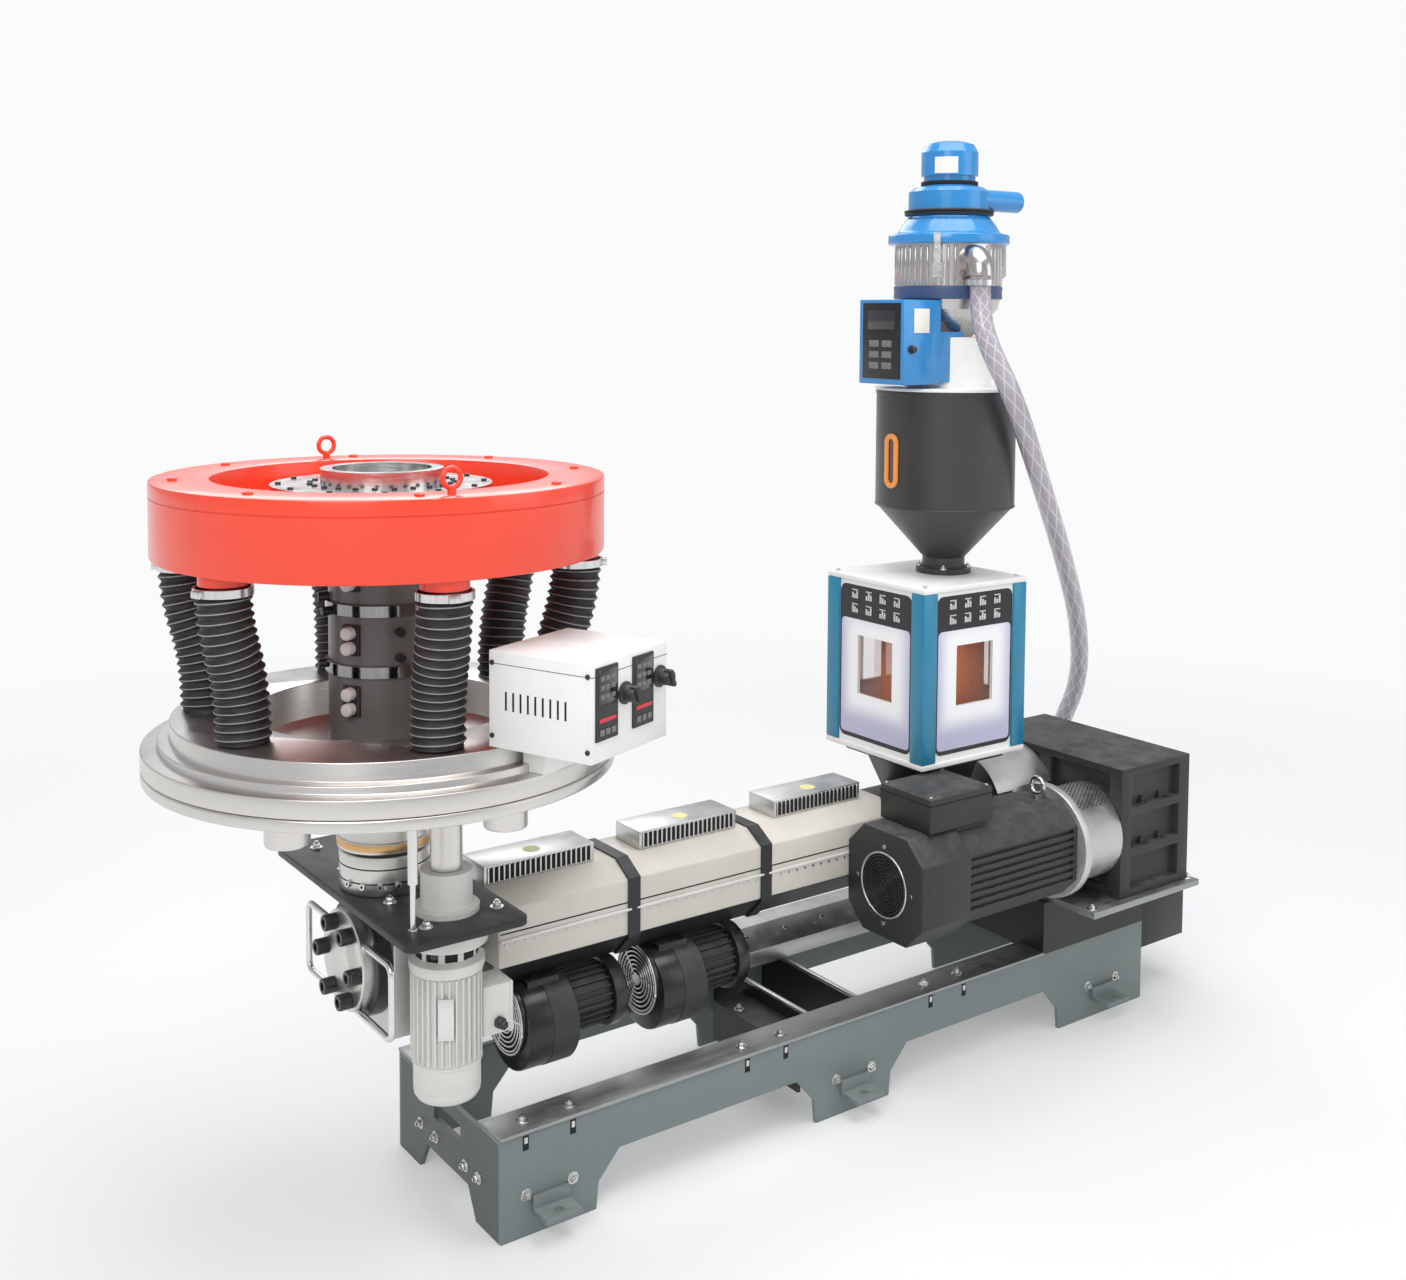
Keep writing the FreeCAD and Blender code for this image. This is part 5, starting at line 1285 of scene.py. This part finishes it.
hole_low, hole_high = (-46.5, -5, 653), (46.5, 5, 764)
border = rounded_plate("border", 194, 290, 15, 0.5, sheet_black)
stand(border, Matrix.Translation((0, 0, 0.712)))
cut_with(border, block("hole", hole_low, hole_high, sheet_black, 0))
field = rounded_plate("field", 186, 218, 9, 0.8, sheet_violet)
stand(field, Matrix.Translation((0, 0, 0.684)))
cut_with(field, block("hole", hole_low, hole_high, sheet_violet, 0))
sheet_parts = [border, field]
for row in range(2):
    for column in range(4):
        x, z = -57 + 38 * column, 812 + 27 * row
        for bar in range(3):
            low_x = x - 8 + 5.8 * bar
            top = z + 7 - 3 * ((bar + column + row) % 3)
            sheet_parts.append(block("bar", (low_x, -0.8, z - 7), (low_x + 4.4, -0.3, top), icon_pale, 0))
        sheet_parts.append(block("cap", (x - 8, -0.8, z + 8), (x + 8, -0.3, z + 10), icon_pale, 0))
sheet = joined("sheet", sheet_parts)
stand(sheet, Matrix.Translation((0, -0.128, 0)))
sheets = copies("window_sheets", sheet, [upright((box_x, 0, 0), 90 * index) for index in range(4)])
mount(sheets, "machine")
corner_spots = [facing((box_x + 118 * sx, 118 * sy, 875), (0, 0, 1)) for sx in (-1, 1) for sy in (-1, 1)]
corner_screws = copies("window_box_screws", socket_screw(4, 3, zinc_bolt), corner_spots)
mount(corner_screws, "machine")

# %% [markdown]
# ## The hopper
# The hopper is rolled sheet with a welded seam at its shoulder and a rolled rim. An oval sight glass in an
# orange frame shows how full it is. Four screws hold its neck flange.

# %% Hopper details
hopper_x = 1049.0
frame_orange = painted("orange_frame", (0.85, 0.32, 0.07), gloss=0.35, scuff=0.08)
amber = painted("amber_glass", (0.07, 0.012, 0.006), gloss=0.08, scuff=0.0, coat=0.8, dust=0.0)
oval = rounded_plate("oval", 34, 102, 16.8, 5, frame_orange)
cut_with(oval, stand(rounded_plate("slot", 15, 82, 7.4, 12, frame_orange), Matrix.Translation((0, 0.003, 0))))
soften(oval, 1.2)
pane = rounded_plate("pane", 17, 84, 8.4, 1.5, amber)
sight = joined("hopper_sight_glass", [oval, pane])
stand(sight, Matrix.Translation(at(918.6, 6, 1092)) @ turned_by(-90))
mount(sight, "machine")
bands = [hoop("band", (130, 131.4, 132), heights, 0.8, hopper_black) for heights in ((1003, 1006), (1214, 1221))]
hopper_bands = stand(joined("hopper_bands", bands), upright((hopper_x, 0, 0)))
mount(hopper_bands, "machine")
flange_spots = [facing((hopper_x + 46 * math.cos(math.radians(45 + 90 * index)),
                        46 * math.sin(math.radians(45 + 90 * index)), 885), (0, 0, 1)) for index in range(4)]
flange_bolts = copies("hopper_flange_bolts", hex_bolt(7, 5, zinc_bolt), flange_spots)
mount(flange_bolts, "machine")

# %% [markdown]
# ## The vacuum loader
# The loader sucks pellets up the hose and drops them into the hopper. Its stainless chamber is rolled with
# upright flutes, a violet-grey clamp band closes it below, and the blue head holds the blower. A black
# membrane keypad is on its control box.

# %% Loader details
band_violet = painted("violet_grey_band", (0.045, 0.075, 0.17), gloss=0.3, scuff=0.1, dust=0.05)
flute_outline = [(1.6, 0), (2.2, 0.8), (2.2, 70.5), (1.6, 71.5)]
flute = turned("flute", flute_outline, stainless, sides=10)
flute_spots = []
for index in range(48):
    angle = math.radians(7.5 * index)
    if not 238 < 7.5 * index < 264:
        flute_spots.append(upright((hopper_x + 98.2 * math.cos(angle), 98.2 * math.sin(angle), 1419)))
flutes = copies("chamber_flutes", flute, flute_spots)
mount(flutes, "machine")
clamp_outline = [(99.5, 1392), (101, 1393), (101.6, 1396), (100.6, 1404), (101.6, 1412), (101, 1416),
                 (99.5, 1417), (97, 1417), (97, 1392), (99.5, 1392)]
loader_axis = upright((hopper_x, 0, 0))
chamber_band = stand(turned("band", clamp_outline, band_violet, sides=96, hollow=True), loader_axis)
cable = stand(wire_ring(80.5, 2.6, 1551, rubber, 96), loader_axis)
cable_low = stand(wire_ring(81.5, 2.6, 1556, rubber, 96), loader_axis)
# The loader's vent is a near-black band: painted shade in the vent slot.
vent = stand(hoop("vent", (50, 52.6, 53.2), (1604, 1612), 1, shade_and_seam_black, 72), upright((hopper_x, 0, 0)))
loader_trim = joined("loader_trim", [chamber_band, cable, cable_low, vent])
mount(loader_trim, "machine")
inlet_band = stand(hoop("clamp", (22, 25.2, 26), (0, 11), 0.6, band_steel, 40), upright((1006, -124.8, 1416)))
mount(inlet_band, "machine")
pad_parts = [block_at("keypad", (875.6, -56, 1246), (877.4, 44, 1384), sheet_black, 0.3)]
pad_parts.append(block_at("display", (875.2, -42, 1336), (876, 30, 1370), screen_black, 0.2))
for row in range(3):
    for column in range(2):
        y, z = -34 + 34 * column, 1264 + 20 * row
        pad_parts.append(block_at("key", (874.9, y, z), (875.8, y + 26, z + 12), key_grey, 0.4))
loader_knob = turned("knob", [(8, 0), (8, 2), (6, 3), (5.6, 10), (4.6, 11)], bezel_black, sides=32)
pad_parts.append(stand(loader_knob, facing((896, -64, 1300), (0, -1, 0))))
keypad = joined("loader_keypad", pad_parts)
mount(keypad, "machine")


def curved_label(name, radius, low, high, middle_deg, width, finish):
    """A bare sticker that follows a round body about the hopper's axis."""
    bpy.ops.object.select_all(action="DESELECT")
    bpy.ops.mesh.primitive_grid_add(x_subdivisions=12, y_subdivisions=1, size=1)
    label = bpy.context.object
    label.name = name
    for corner in label.data.vertices:
        angle = math.radians(middle_deg) + corner.co.x * width / radius
        height = low if corner.co.y < 0 else high
        corner.co = (radius / 1000 * math.cos(angle), radius / 1000 * math.sin(angle), height / 1000)
    label.data.materials.append(finish)
    thick = label.modifiers.new("thick", "SOLIDIFY")
    thick.thickness = 0.0004
    thick.offset = 0
    alone(label)
    bpy.ops.object.modifier_apply(modifier="thick")
    return stand(label, upright((hopper_x, 0, 0)))


sticker = painted("bare_sticker", (0.80, 0.78, 0.72), gloss=0.5, scuff=0.03, dust=0.05)
stickers = [curved_label("sticker", 53.0, 1625, 1655, 218, 44, sticker)]
stickers.append(block_at("sticker", (902, -64.9, 1330), (940, -64.3, 1374), sticker, 0.2))
loader_stickers = joined("loader_stickers", stickers)
mount(loader_stickers, "machine")
